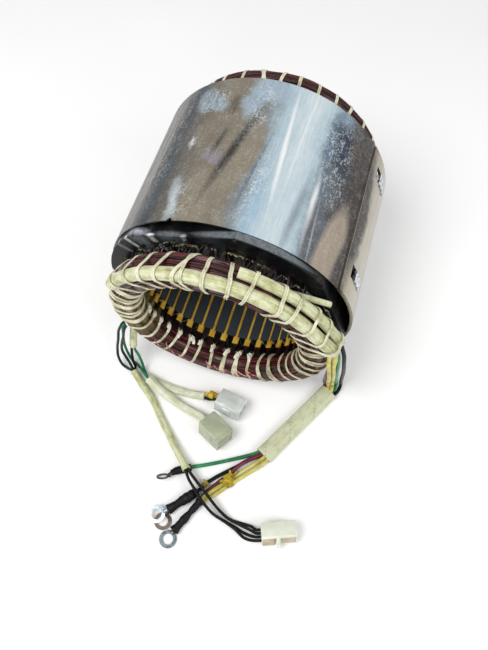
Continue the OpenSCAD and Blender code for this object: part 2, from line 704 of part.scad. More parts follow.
module long_sleeve() {
    color(sleeve_cream) tube(smooth(long_sleeve_path), long_sleeve_d / 2, 12);
}

module thin_lead_a() {
    color("#2a2826") tube(smooth(thin_a_path), thin_r);
}

module thin_lead_b() {
    color("#2a2826") tube(smooth(thin_b_path), thin_r);
}

module thin_lead_c() {
    color("#2a2826") tube(smooth(thin_c_path), thin_r);
}

module thin_lead_d() {
    color("#2a2826") tube(smooth(thin_d_path), thin_r);
}

module upper_sleeve() {
    color(sleeve_cream) tube(smooth(upper_sleeve_path), short_sleeve_d / 2, 12);
}

module lower_sleeve() {
    color(sleeve_cream) tube(smooth(lower_sleeve_path), short_sleeve_d / 2, 12);
}

// The yellow and the black wire between the upper sleeve and its connector.
module upper_pigtail() {
    color("#b5a832") {
        tube(smooth(pigtail_yellow), pigtail_r);
        tube(smooth(pigtail_black), pigtail_r);
    }
}

// ---------- connectors ----------

// A nylon connector housing with a socket in its far end and a latch on its near side.
module housing(size, wall, socket, latch) {
    difference() {
        translate([-size[0] / 2, 0, 0]) rotate([90, 0, 90]) linear_extrude(size[0])
            rounded([size[1], size[2]], 1.2);
        translate([size[0] / 2 - socket, -size[1] / 2 + wall, -size[2] / 2 + wall])
            cube([socket + 1, size[1] - 2 * wall, size[2] - 2 * wall]);
    }
    translate([-latch / 2, -size[1] / 2 - 1, -1]) cube([latch, 1.1, 5]);
}

module four_way_connector() {
    color(nylon_ivory) at_connector(four_way_size, four_way_turn, four_way_at)
        housing(four_way_size, 1.6, 3, 11);
}

module upper_connector() {
    color(nylon_ivory) at_connector(upper_size, upper_turn, upper_at)
        housing(upper_size, 1.5, 3, 8);
}

module lower_connector() {
    color(nylon_green) at_connector(lower_size, lower_turn, lower_at)
        housing(lower_size, 1.5, 3, 9);
}

stator_core();
core_welds();
shroud();
seam_hooks();
slot_liners();
slot_wedges();
slot_windings();
lead_end_winding();
rear_end_winding();
lead_end_lacing();
rear_end_lacing();
main_ring_sleeve();
outer_ring_sleeve();
side_sleeve_stub();
face_sleeve_stub();
green_lead();
black_lead();
red_lead();
yellow_lead_a();
yellow_lead_b();
wide_sleeve();
green_shrink();
green_eye();
black_shrink();
black_upper_eye();
black_lower_eye();
yellow_shrink();
yellow_eye();
yellow_tie();
small_tie();
signal_lead_a();
signal_lead_b();
signal_lead_c();
signal_lead_d();
signal_lead_e();
long_sleeve();
thin_lead_a();
thin_lead_b();
thin_lead_c();
thin_lead_d();
four_way_connector();
upper_sleeve();
upper_pigtail();
upper_connector();
lower_sleeve();
lower_connector();
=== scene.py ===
"""Looks for the stator of a small engine-driven generator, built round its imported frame.

The bore's centre is the origin, the bore's axis is Y, the leads leave at -Y, and Z is up.
Shapes are worked out in millimetres and turned to metres where a mesh is made. A point of a
lead's route is [x, y, height over the floor].
"""
import json
import math
import random

import bpy
from mathutils import Matrix, Vector, noise
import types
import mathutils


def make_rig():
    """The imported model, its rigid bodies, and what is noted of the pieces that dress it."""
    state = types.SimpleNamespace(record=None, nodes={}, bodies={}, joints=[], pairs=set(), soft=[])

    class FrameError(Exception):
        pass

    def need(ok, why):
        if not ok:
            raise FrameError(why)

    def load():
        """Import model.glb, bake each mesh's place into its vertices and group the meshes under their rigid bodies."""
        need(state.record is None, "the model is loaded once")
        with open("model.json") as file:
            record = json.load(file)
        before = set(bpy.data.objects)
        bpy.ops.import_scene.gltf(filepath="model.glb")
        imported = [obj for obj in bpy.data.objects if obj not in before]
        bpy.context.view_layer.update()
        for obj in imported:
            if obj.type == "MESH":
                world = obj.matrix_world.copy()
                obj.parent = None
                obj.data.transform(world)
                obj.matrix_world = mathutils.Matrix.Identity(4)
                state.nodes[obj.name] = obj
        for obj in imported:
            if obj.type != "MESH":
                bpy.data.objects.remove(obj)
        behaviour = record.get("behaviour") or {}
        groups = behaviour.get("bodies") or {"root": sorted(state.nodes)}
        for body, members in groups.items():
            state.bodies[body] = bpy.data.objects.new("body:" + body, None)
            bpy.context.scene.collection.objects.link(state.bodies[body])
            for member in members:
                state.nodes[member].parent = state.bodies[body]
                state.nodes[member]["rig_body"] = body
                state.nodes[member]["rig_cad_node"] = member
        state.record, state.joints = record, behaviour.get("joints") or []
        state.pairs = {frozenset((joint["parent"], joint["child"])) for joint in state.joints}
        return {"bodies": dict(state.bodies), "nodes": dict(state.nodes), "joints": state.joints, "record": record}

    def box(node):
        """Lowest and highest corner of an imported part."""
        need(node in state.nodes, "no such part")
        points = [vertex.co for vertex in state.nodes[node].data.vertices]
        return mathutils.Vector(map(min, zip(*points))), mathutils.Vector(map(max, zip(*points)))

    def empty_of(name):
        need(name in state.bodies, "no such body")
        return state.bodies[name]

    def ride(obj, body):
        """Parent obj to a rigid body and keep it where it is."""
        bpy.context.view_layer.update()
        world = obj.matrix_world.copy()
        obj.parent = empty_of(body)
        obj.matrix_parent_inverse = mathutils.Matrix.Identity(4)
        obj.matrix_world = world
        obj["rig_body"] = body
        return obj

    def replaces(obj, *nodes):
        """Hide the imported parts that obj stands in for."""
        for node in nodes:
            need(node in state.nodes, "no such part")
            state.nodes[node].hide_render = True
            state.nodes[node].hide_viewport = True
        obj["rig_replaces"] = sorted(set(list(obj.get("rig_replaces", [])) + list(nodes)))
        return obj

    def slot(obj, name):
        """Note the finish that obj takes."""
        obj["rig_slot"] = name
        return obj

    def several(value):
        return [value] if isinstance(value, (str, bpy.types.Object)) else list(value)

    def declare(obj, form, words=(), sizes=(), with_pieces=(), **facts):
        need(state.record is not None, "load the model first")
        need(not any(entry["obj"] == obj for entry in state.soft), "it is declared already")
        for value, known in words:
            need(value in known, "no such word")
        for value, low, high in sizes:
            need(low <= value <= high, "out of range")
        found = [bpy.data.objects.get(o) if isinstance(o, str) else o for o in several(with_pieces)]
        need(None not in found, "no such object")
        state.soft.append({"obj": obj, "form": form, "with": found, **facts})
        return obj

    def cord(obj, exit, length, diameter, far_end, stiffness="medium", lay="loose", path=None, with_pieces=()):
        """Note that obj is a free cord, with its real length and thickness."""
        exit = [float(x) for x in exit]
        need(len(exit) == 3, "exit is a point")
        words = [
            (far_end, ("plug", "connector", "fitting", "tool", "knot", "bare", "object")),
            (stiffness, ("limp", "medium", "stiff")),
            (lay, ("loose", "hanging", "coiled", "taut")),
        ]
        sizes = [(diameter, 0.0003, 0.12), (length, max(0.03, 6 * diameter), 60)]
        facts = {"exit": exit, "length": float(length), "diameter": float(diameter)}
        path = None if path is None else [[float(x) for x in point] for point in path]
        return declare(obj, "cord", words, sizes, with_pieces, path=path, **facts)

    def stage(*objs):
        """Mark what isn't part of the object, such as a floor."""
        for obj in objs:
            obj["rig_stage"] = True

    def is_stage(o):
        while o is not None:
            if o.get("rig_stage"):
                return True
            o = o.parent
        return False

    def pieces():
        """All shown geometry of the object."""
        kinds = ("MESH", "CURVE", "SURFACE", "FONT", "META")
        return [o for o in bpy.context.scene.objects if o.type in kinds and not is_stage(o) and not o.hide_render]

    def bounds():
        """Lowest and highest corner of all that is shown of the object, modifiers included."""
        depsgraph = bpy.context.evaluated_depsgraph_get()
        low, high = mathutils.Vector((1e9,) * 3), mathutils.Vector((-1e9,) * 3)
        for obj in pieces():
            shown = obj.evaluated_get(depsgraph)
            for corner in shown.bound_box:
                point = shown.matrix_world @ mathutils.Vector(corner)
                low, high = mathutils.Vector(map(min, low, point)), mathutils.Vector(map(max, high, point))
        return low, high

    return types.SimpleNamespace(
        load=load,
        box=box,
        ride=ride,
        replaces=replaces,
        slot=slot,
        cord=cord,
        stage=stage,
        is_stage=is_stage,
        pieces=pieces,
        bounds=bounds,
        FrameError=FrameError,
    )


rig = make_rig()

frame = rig.load()
cad_low, cad_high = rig.bounds()

MM = 0.001
TURN = 2 * math.pi
FLOOR = cad_low.z / MM
SHROUD_R = -FLOOR
random.seed(36)

# ---------- the winding rings and the sleeves tied to them, as in the part ----------

FRONT_Y, REAR_Y = (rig.box("stator_core")[end].y / MM for end in (0, 1))
RING_R, RING_THICK, RING_LEN, RING_ROUND, RING_STAND = 74.75, 23.5, 20.5, 9.5, 8.5
LEAD_RING_Y = FRONT_Y - RING_STAND - RING_LEN / 2
REAR_RING_Y = REAR_Y + RING_STAND + RING_LEN / 2
SLOT_ANGLES = [6.5 + 10 * k for k in range(36)]
LACE_ANGLES = [angle + 5 for angle in SLOT_ANGLES]
MAIN_SEAT = dict(r=86, y=-99.5, tube=5.2, turn=40, far=149, tail=30)
OUTER_SEAT = dict(r=90.5, y=-90, tube=4.2, turn=32, far=80, tail=23)
LEAD_R, THIN_R = 1.6, 1.2
TOOTH_R, WEDGE_R, CUFF_R = 61.2, 60.95, 61.95
LEG_RADII, PAPER_R = (65.5, 71, 76.5, 82), (83.4, 84.6)


# ---------- colours and nodes ----------

def colour(code):
    """An sRGB hex colour as the linear values that Blender works in."""
    parts = [int(code[i:i + 2], 16) / 255 for i in (1, 3, 5)]
    return [p / 12.92 if p <= 0.04045 else ((p + 0.055) / 1.055) ** 2.4 for p in parts] + [1.0]


def add(tree, kind, inputs=None, stops=None, **settings):
    """Adds a shader node with its settings, its sockets' values or links, and a ramp's colour stops."""
    made = tree.nodes.new("ShaderNode" + kind)
    for name, value in settings.items():
        setattr(made, name, value)
    for name, value in (inputs or {}).items():
        if isinstance(value, bpy.types.NodeSocket):
            tree.links.new(value, made.inputs[name])
        else:
            made.inputs[name].default_value = value
    if stops:
        ramp = made.color_ramp
        while len(ramp.elements) < len(stops):
            ramp.elements.new(0.5)
        for element, (place, code) in zip(ramp.elements, stops):
            element.position = place
            element.color = colour(code)
    return made


class Finish:
    """A material in the making: its tree, its shader's sockets, and its place in space."""

    def __init__(self, name, roughness, **sockets):
        self.material = bpy.data.materials.new(name)
        self.material.use_nodes = True
        self.tree = self.material.node_tree
        self.shader = self.tree.nodes["Principled BSDF"].inputs
        for socket, value in {"Roughness": roughness, **sockets}.items():
            self.shader[socket.replace("_", " ")].default_value = value
        self.place = self.node("TexCoord").outputs["Object"]

    def node(self, kind, inputs=None, stops=None, **settings):
        return add(self.tree, kind, inputs, stops, **settings)

    def maths(self, operation, a, b=0.0):
        return self.node("Math", {0: a, 1: b}, operation=operation).outputs[0]

    def times(self, first, *others):
        for other in others:
            first = self.maths("MULTIPLY", first, other)
        return first

    def plus(self, a, b):
        return self.maths("ADD", a, b)

    def between(self, a, b, share):
        """Two values mixed, with that share of the second."""
        return self.plus(self.times(a, 1 - share), self.times(b, share))

    def vector(self, operation, a, b=(0, 0, 0)):
        made = self.node("VectorMath", {0: a, 1: b}, operation=operation)
        return made.outputs["Value" if operation == "LENGTH" else "Vector"]

    def axis(self, name, vector=None):
        return self.node("SeparateXYZ", {0: vector or self.place}).outputs[name]

    def grains(self, size_mm, detail=3, rough=0.6, squash=(1, 1, 1), place=None):
        """Noise whose grains are about size_mm across, stretched by squash."""
        return self.node("TexNoise", {
            "Vector": self.vector("MULTIPLY", place or self.place, squash), "Scale": 1 / (size_mm * MM),
            "Detail": detail, "Roughness": rough}).outputs["Fac"]

    def spread(self, value, low, high, to_low=0.0, to_high=1.0):
        """A value carried from the span low to high onto another span, and held inside it."""
        return self.node("MapRange", {"Value": value, "From Min": low, "From Max": high,
                                      "To Min": to_low, "To Max": to_high}).outputs[0]

    def ramp(self, amount, stops):
        return self.node("ValToRGB", {"Fac": amount}, stops).outputs["Color"]

    def over(self, amount, a, b, way="MIX"):
        """Colour b over colour a, by an amount; b is a colour code or a socket."""
        b = colour(b) if isinstance(b, str) else b
        return self.node("Mix", {0: amount, 6: a, 7: b}, data_type="RGBA", blend_type=way).outputs[2]

    def paint(self, base):
        self.tree.links.new(base, self.shader["Base Color"])

    def emboss(self, height, depth_mm, strength=1.0):
        """Gives the shader a bump of a real depth."""
        bump = self.node("Bump", {"Height": height, "Distance": depth_mm * MM, "Strength": strength})
        self.tree.links.new(bump.outputs["Normal"], self.shader["Normal"])

    def polish(self, amount, low, high):
        """Roughness from low to high, by an amount from 0 to 1."""
        self.tree.links.new(self.spread(amount, 0, 1, low, high), self.shader["Roughness"])

    def unrolled(self, side=1):
        """The place on the sheet laid flat, in mm: round from +X, or from -X where side is -1, and along Y."""
        turn = self.maths("ARCTAN2", self.axis("Z"), self.times(self.axis("X"), side))
        return self.node("CombineXYZ", {"X": self.times(turn, SHROUD_R),
                                        "Y": self.maths("DIVIDE", self.axis("Y"), MM)}).outputs[0]

    def oval(self, spot, at, half, lean, soft):
        """1 inside an oval on the unrolled sheet and 0 outside it, over a soft edge."""
        local = self.node("Mapping", {
            "Vector": spot, "Location": (math.radians(at[0]) * SHROUD_R, at[1], 0),
            "Rotation": (0, 0, math.radians(lean)), "Scale": (*half, 1)}, vector_type="TEXTURE").outputs[0]
        return self.spread(self.vector("LENGTH", local), 1 + soft / 2, 1 - soft)

    def marked(self, base, spot, marks):
        """A colour with soft ovals of other colours over it."""
        for at, half, lean, soft, code, strength in marks:
            base = self.over(self.times(self.oval(spot, at, half, lean, soft), strength), base, code)
        return base


def plain_finish(name, roughness, grain, stops, relief=None, polish=None, **sockets):
    """A material of one noise of colours, with a relief of another noise, its depth and its strength."""
    finish = Finish(name, roughness, **sockets)
    tone = finish.grains(*grain)
    finish.paint(finish.ramp(tone, stops))
    if relief:
        finish.emboss(finish.grains(*relief[0]), *relief[1:])
    if polish:
        finish.polish(tone, *polish)
    return finish.material


# ---------- materials ----------

# Painted reflections and a few dried smears on the bright sheet: the angle round the axis and the place along it,
# half its width and its length, its lean, how soft its edge is, its colour, and how strong it is.
# The first list has ragged edges, and the second, of painted reflections and highlights and paint that lightens the
# seam's step, has smooth ones.
SHEET_REFLECTIONS_AND_SMEARS = [
    ((121, 47), (12, 10), 0, 0.35, "#93a3ae", 0.85),
    ((114, 41), (9, 7), 35, 0.35, "#9aaab5", 0.85),
    ((97, 44), (9, 17), 14, 0.35, "#a3b5c2", 0.9),
    ((91, 58), (13, 13), -10, 0.4, "#a9bcc9", 0.9),
    ((109, 66), (9, 19), -14, 0.15, "#8a8172", 0.95),
    ((105.5, 38), (3.5, 11), 12, 0.5, "#5c554d", 0.75),
    ((113, 12), (9, 21), 0, 0.15, "#857b6c", 0.95),
    ((95, -8), (12, 36), 9, 0.2, "#938a79", 0.95),
    ((107, -46), (12, 22), 0, 0.2, "#948b7a", 0.95),
    ((107, -9), (11, 5), 20, 0.8, "#a29bb0", 0.6),
    ((117, -50), (4.2, 18), -6, 0.8, "#d3dfe6", 0.8),
    ((119, 2), (3, 4), 0, 0.7, "#dfe7ec", 0.8),
    ((128, -30), (3, 30), 2, 0.7, "#49545f", 0.8),
    ((142, 10), (2.4, 50), -2, 0.7, "#9a948b", 0.7),
    ((84, -42), (4, 34), 2, 0.8, "#a5bccb", 0.7),
    ((60, 32), (3.5, 30), -3, 0.7, "#5e7184", 0.8),
    ((53, 34), (10, 28), -5, 0.5, "#333d4d", 0.9),
    ((46, 40), (5, 18), 20, 0.6, "#5d4e46", 0.8),
    ((56, 60), (7, 7), 0, 0.7, "#8fa4b5", 0.7),
    ((41, 12), (7, 26), -10, 0.6, "#54473f", 0.8),
    ((34, 2), (12, 52), -2, 0.3, "#443d3a", 1.0),
]
SHEET_GLEAMS = [
    ((99, -4), (3.6, 38), 13, 0.7, "#363435", 0.9),
    ((106, 4), (2.2, 13), 12, 0.7, "#45413f", 0.8),
    ((135.3, 0), (1.1, 60), -1, 0.7, "#20252b", 0.8),
    ((150, -6), (1.6, 58), 1, 0.7, "#8e8a83", 0.7),
    ((157.6, 0), (1.4, 60), 0, 0.7, "#242220", 0.8),
    ((132, 16), (2.4, 50), -3, 0.6, "#2e343b", 0.85),
    ((138.5, -10), (1.4, 52), 2, 0.7, "#a5a199", 0.7),
    ((146, 0), (3, 60), 1, 0.6, "#35322f", 0.85),
    ((154, 12), (1.2, 56), 1, 0.7, "#b5b1aa", 0.75),
    ((161, 0), (2.6, 62), 0, 0.6, "#383532", 0.8),
    ((88, -20), (1.2, 38), 7, 0.7, "#5f7384", 0.6),
    ((73, 20), (1.0, 40), 2, 0.8, "#f2f7f8", 0.7),
    ((82, -46), (6, 22), 3, 0.9, "#9fc0d6", 0.6),
    ((72, -30), (6, 40), 4, 0.9, "#c4d6df", 0.6),
    ((66.5, -36), (3.2, 34), 5, 0.7, "#8d9ba6", 0.85),
    ((60.5, -28), (2.3, 27), -1, 0.7, "#f4f8fa", 1.0),
    ((57.5, -50), (6, 30), -3, 0.6, "#66686d", 0.95),
    ((57, -46), (0.7, 26), -3, 0.8, "#aeb3b8", 0.8),
    ((46.5, -60), (13, 54), 6, 0.2, "#b0a292", 0.95),
    ((39, -50), (5, 26), 10, 0.5, "#4b4644", 0.95),
    ((78.8, 8), (1.6, 44), -2.8, 0.7, "#ffffff", 1.0),
    ((35, 0), (0.8, 66), 0, 0.4, "#8f867b", 1.0),
]
# Where pale specks crowd on the sheet, in the same order but without a colour.
SPECK_ZONES = [
    ((117, 46), (16, 13), 0, 0.5, 1.0), ((94, 42), (10, 26), 10, 0.6, 0.9), ((85, -30), (9, 36), 3, 0.7, 0.8),
    ((56, 22), (16, 46), 0, 0.6, 0.9), ((114, -52), (12, 16), 0, 0.6, 0.7), ((133, 10), (12, 60), 0, 0.7, 0.6)]
# Painted reflections in long bands round the sheet, as colours by the share of a turn from +X.
SHEET_REFLECTION_BANDS = [
    (0.0, "#b5ad9d"), (0.045, "#c0b8a7"), (0.088, "#aca391"), (0.1, "#554b45"), (0.12, "#4a4543"),
    (0.145, "#5d5c5f"), (0.165, "#76858f"), (0.178, "#b9ccd6"), (0.2, "#d9e5e8"), (0.232, "#b3c8d3"),
    (0.248, "#8b9094"), (0.262, "#8d8576"), (0.31, "#857c6d"), (0.34, "#66625b"), (0.36, "#363d46"),
    (0.382, "#6f6a62"), (0.41, "#454240"), (0.437, "#78736b"), (0.46, "#484542"), (0.485, "#87837c"),
    (0.51, "#a09a90"), (0.6, "#6f6c68"), (0.7, "#a9adb0"), (0.8, "#77726d"), (0.9, "#b0b6ba"), (0.97, "#bfb4a5")]


def bright_rolled_sheet():
    """Bright rolled steel sheet: a mirror whose reflections are painted on in long bands and patches of light and dark,
    with painted highlights, a few dried smears and pale specks.
    """
    sheet = Finish("bright_rolled_sheet", 0.25, Metallic=1.0)
    straight = bent = sheet.unrolled()
    # Large bends and ragged edges, each pushing the pattern about by a few millimetres.
    for size, push, detail in ((26, 13, 2), (5, 5, 3), (1.6, 3.4, 2)):
        drift = sheet.node("TexNoise", {
            "Vector": sheet.place, "Scale": 1 / (size * MM), "Detail": detail}).outputs["Color"]
        drift = sheet.vector("MULTIPLY", sheet.vector("SUBTRACT", drift, (0.5, 0.5, 0.5)), (push, push * 1.6, 0))
        bent = sheet.vector("ADD", bent, drift)
    turn = sheet.maths("FRACT", sheet.maths("DIVIDE", sheet.axis("X", bent), TURN * SHROUD_R))
    # The colour is mostly painted reflection: bands round the sheet, ragged patches over them, then smooth painted
    # highlights and reflections.
    base = sheet.marked(sheet.ramp(turn, SHEET_REFLECTION_BANDS), bent, SHEET_REFLECTIONS_AND_SMEARS)
    base = sheet.marked(base, straight, SHEET_GLEAMS)
    brushed = sheet.grains(1.1, squash=(1, 0.06, 1))
    grain = sheet.ramp(brushed, [(0.35, "#5b5d60"), (0.5, "#bcbcbc"), (0.65, "#ffffff")])
    base = sheet.over(0.16, base, grain, "MULTIPLY")
    crowd = 0.22
    for *zone, strength in SPECK_ZONES:
        crowd = sheet.maths("MAXIMUM", sheet.times(sheet.oval(bent, *zone), strength), crowd)
    specks = sheet.between(sheet.grains(1.7, 4, 0.85), sheet.grains(6, 5, 0.8, (1, 0.6, 1)), 0.4)
    base = sheet.over(sheet.times(sheet.spread(specks, 0.46, 0.36), crowd, 0.6), base, "#55606c")
    base = sheet.over(sheet.times(sheet.spread(specks, 0.5, 0.6), crowd, 0.85), base, "#dfe9ee")
    sheet.paint(base)
    smears = sheet.grains(20, 4, squash=(1, 0.5, 1))
    sheet.polish(sheet.between(crowd, smears, 0.6), 0.2, 0.45)
    sheet.emboss(sheet.plus(brushed, sheet.times(smears, 2)), 0.03, 0.5)
    return sheet.material


def bent_tab():
    """The same sheet where it was cut and bent over: bright, strained and finely crazed."""
    return plain_finish("bent_tab", 0.3, (2, 4, 0.7), [(0.4, "#5f6468"), (0.48, "#b9c0c4"), (0.6, "#eef2f4")],
                        ((2, 4, 0.7), 0.15), Metallic=1.0)


def varnished_laminations():
    """Punched electrical steel sheets under black varnish: fine edge lines, a half gloss and brown runs."""
    core = Finish("varnished_laminations", 0.3, Specular_IOR_Level=0.13)
    # The sheets are 0.5 mm thick; the lines are drawn at 1.5 mm, so that they show.
    lines = core.maths("SINE", core.times(core.axis("Y"), TURN / (1.5 * MM)))
    blotches, fine = core.grains(14, 5, 0.65), core.grains(2.2)
    base = core.ramp(core.between(blotches, fine, 0.25), [
        (0.3, "#060708"), (0.48, "#0f1114"), (0.57, "#1d1c1a"), (0.65, "#37352f"), (0.75, "#14110d")])
    flat = core.unrolled()
    # Painted highlights and glints along the front of the flat, and a painted lit band along the edge ahead of the
    # shroud.
    for at, half, soft, code, strength in (
            ((133, -68), (9, 3), 0.8, "#b4bac2", 0.9), ((116, -69), (12, 2.4), 0.8, "#82888f", 0.8),
            ((148, -69), (2.8, 2.4), 0.7, "#a39bb3", 0.9), ((96, -69), (12, 2), 0.8, "#5a6066", 0.7),
            ((140, -70), (2.2, 1.4), 0.7, "#e6eaee", 1.0), ((126, -70), (3.4, 1.2), 0.7, "#eef1f3", 1.0),
            ((109, -70), (2.6, 1.2), 0.7, "#b9bfc5", 1.0), ((78, -67.6), (44, 3), 0.25, "#6d7376", 1.0)):
        base = core.over(core.times(core.oval(flat, at, half, 0, soft), fine, strength * 1.7), base, code)
    # The tooth tips in the bore are bare of varnish and greyer.
    off_axis = core.node("CombineXYZ", {"X": core.axis("X"), "Y": core.axis("Z")}).outputs[0]
    in_bore = core.maths("LESS_THAN", core.vector("LENGTH", off_axis), TOOTH_R * MM)
    core.paint(core.over(core.times(in_bore, 0.8), base, "#3d454b"))
    core.polish(blotches, 0.25, 0.6)
    core.emboss(core.plus(lines, core.times(blotches, 3)), 0.06, 0.6)
    return core.material


def weld_bead():
    """Welded steel seam under varnish: rippled along its length and a little brighter than the core."""
    ripple = (1.6, 2, 0.5, (0.3, 1.4, 0.3))
    return plain_finish("weld_bead", 0.4, ripple, [(0.35, "#2a2a2c"), (0.6, "#6b6a6a")], (ripple, 0.4), Metallic=0.6)


def fibre_wedge():
    """Slot wedge of yellow fibre sheet: dry, faintly streaked along its length, with brown varnish stains."""
    wedge = Finish("fibre_wedge", 0.55)
    streaks = wedge.grains(1.4, squash=(1, 0.12, 1))
    wedge.paint(wedge.ramp(wedge.between(streaks, wedge.grains(16, 4), 0.6), [
        (0.34, "#8f6a1c"), (0.46, "#c79a2c"), (0.6, "#dcb548"), (0.72, "#a8791f")]))
    wedge.emboss(streaks, 0.08)
    return wedge.material


def insulating_paper(name, shades):
    """Paper of pressed fibre with a film: cream, greyed and yellowed by varnish, with a soft gloss."""
    return plain_finish(name, 0.5, (7, 5, 0.65), shades, ((0.8, 2, 0.5), 0.05))


def enamelled_wire():
    """Round copper wire in dark red enamel, dipped in varnish: each turn has its own tone, the lighter turns a painted
    red highlight, and a wet gleam.
    """
    wire = Finish("enamelled_wire", 0.28, Specular_IOR_Level=0.3, Coat_Weight=0.25, Coat_Roughness=0.12)
    tone = wire.node("Attribute", attribute_name="tone").outputs["Fac"]
    stains = wire.grains(9, 5, 0.7)
    # The lighter reds near the top of the ramp, on turns given a high tone, are painted highlights.
    base = wire.ramp(wire.between(tone, stains, 0.5), [
        (0.22, "#110506"), (0.4, "#290b0e"), (0.54, "#431214"), (0.66, "#591a1a"), (0.76, "#7d2f2a"),
        (0.85, "#2c100e")])
    greyed = wire.spread(wire.grains(15, 4, squash=(1, 1.3, 1)), 0.6, 0.72)
    base = wire.over(wire.times(greyed, 0.45), base, "#5d5850")
    # Thick olive varnish on the left flank of the lead end's ring.
    crust = wire.oval(wire.unrolled(-1), (-4, -93), (42, 22), 0, 0.5)
    wire.paint(wire.over(wire.times(crust, 0.85), base, wire.ramp(stains, [
        (0.38, "#3a2a1a"), (0.5, "#7c6c40"), (0.62, "#9c9262")])))
    wire.polish(stains, 0.18, 0.5)
    return wire.material


def loose_wire():
    """Wire ends scraped of some enamel: pinkish copper red that catches the light."""
    return plain_finish("loose_wire", 0.28, (2.5, 2, 0.5), [(0.4, "#a8463f"), (0.62, "#e3a597")], Metallic=0.3)


def crossed_threads(cloth, thread_mm, slanting):
    """A woven relief, across and along what it covers or slanting both ways, and the way round and along."""
    lay = cloth.node("UVMap", uv_map="lay").outputs["UV"]
    run, along = cloth.axis("X", lay), cloth.axis("Y", lay)
    warp, weft = (cloth.plus(run, along), cloth.maths("SUBTRACT", run, along)) if slanting else (run, along)
    step = TURN / (thread_mm * MM)
    threads = cloth.times(*(cloth.maths("SINE", cloth.times(way, step)) for way in (warp, weft)))
    return threads, lay, run, along


def fabric_tape(name, shades, thread_mm):
    """Flat woven tape: fine crossed threads, matt, stained here and there by varnish, lighter on its knots, and darker
    on loops given painted shade.
    """
    tape = Finish(name, 0.72, Sheen_Weight=0.2)
    threads = crossed_threads(tape, thread_mm, False)[0]
    # Each loop's tone lightens the knots and darkens the loops low on the ring's right, as painted shade.
    loop_shade_and_knot_tone = tape.node("Attribute", attribute_name="tone").outputs["Fac"]
    tone = tape.plus(tape.grains(9, 5, 0.65), tape.times(threads, 0.05))
    tape.paint(tape.ramp(tape.plus(tone, tape.times(tape.maths("SUBTRACT", loop_shade_and_knot_tone, 0.5), 0.4)), shades))
    tape.emboss(threads, 0.12, 0.7)
    return tape.material


def braided_sleeving(name, shades, tracer=False, folds=5):
    """Braided glass sleeving with varnish: slanting crossed threads, long creases with painted shade along them, cream
    going tan, a soft shine.
    """
    braid = Finish(name, 0.5, Specular_IOR_Level=0.35, Sheen_Weight=0.1)
    threads, lay, run, along = crossed_threads(braid, 1.1, True)
    creases = braid.grains(3.2, squash=(1, 0.09, 1), place=lay)
    # The creases shade the colour as well as the relief: painted shade and light along the folds.
    tone = braid.plus(braid.between(braid.grains(8, 5, 0.65), creases, 0.5), braid.times(threads, 0.02))
    base = braid.ramp(tone, shades)
    if tracer:
        # A dashed green thread slants round the sleeve, and rust has rubbed off on it.
        slant = braid.plus(run, braid.times(along, 0.85))
        thread = braid.maths("LESS_THAN", braid.maths("PINGPONG", slant, 13 * MM), 0.4 * MM)
        dashes = braid.maths("GREATER_THAN", braid.maths("SINE", braid.times(along, TURN / (2.6 * MM))), -0.3)
        base = braid.over(braid.times(thread, dashes, 0.6), base, "#3f7d5a")
        base = braid.over(braid.times(braid.spread(braid.grains(17), 0.56, 0.7), 0.3), base, "#b79a72")
    braid.paint(base)
    braid.emboss(braid.plus(braid.times(threads, 0.35), braid.times(creases, folds)), 0.3, 0.7)
    return braid.material


def extruded_insulation(name, dark, plain, light, grain_mm, gloss):
    """Extruded PVC insulation: smooth and satin, handled until it is slightly uneven in shade."""
    return plain_finish(name, 0.38, (grain_mm, 4), [(0.35, dark), (0.52, plain), (0.7, light)],
                        ((3, 2, 0.5), 0.08, 0.5), Specular_IOR_Level=gloss)


def shrunk_tube():
    """Heat-shrunk polyolefin: matt black, drawn into fine rings and dusty on its ridges."""
    return plain_finish("shrunk_tube", 0.42, (3, 5, 0.7), [(0.35, "#050506"), (0.6, "#0e0f10"), (0.75, "#242626")],
                        ((2.2,), 0.35, 0.7), Specular_IOR_Level=0.15)


def stamped_copper(name, light, dark):
    """Stamped copper, tin plated: bright, or given darker shades, softly scratched by the stamp, darker in the hollows.
    """
    return plain_finish(name, 0.28, (5, 3, 0.55), [(0.3, dark), (0.55, light)], ((0.6, 2, 0.5), 0.03, 0.5),
                        (0.2, 0.42), Metallic=1.0)


def moulded_nylon(name, *codes):
    """Injection-moulded nylon: waxy and faintly see-through, with flow marks and a satin skin."""
    return plain_finish(name, 0.36, (9, 4, 0.6, (0.5, 1, 1)), list(zip((0.35, 0.52, 0.68), codes)),
                        ((1.2, 2, 0.5), 0.04, 0.5), Subsurface_Weight=0.15, Subsurface_Scale=0.002, IOR=1.53)


def pale_floor():
    """Painted studio floor: plain, matt, near white."""
    return plain_finish("pale_floor", 0.9, (300, 2, 0.5), [(0.3, "#fafafa"), (0.7, "#ffffff")], Specular_IOR_Level=0.1)


# ---------- meshes ----------

def put(name, data):
    """A new object in the scene."""
    made = bpy.data.objects.new(name, data)
    bpy.context.scene.collection.objects.link(made)
    return made


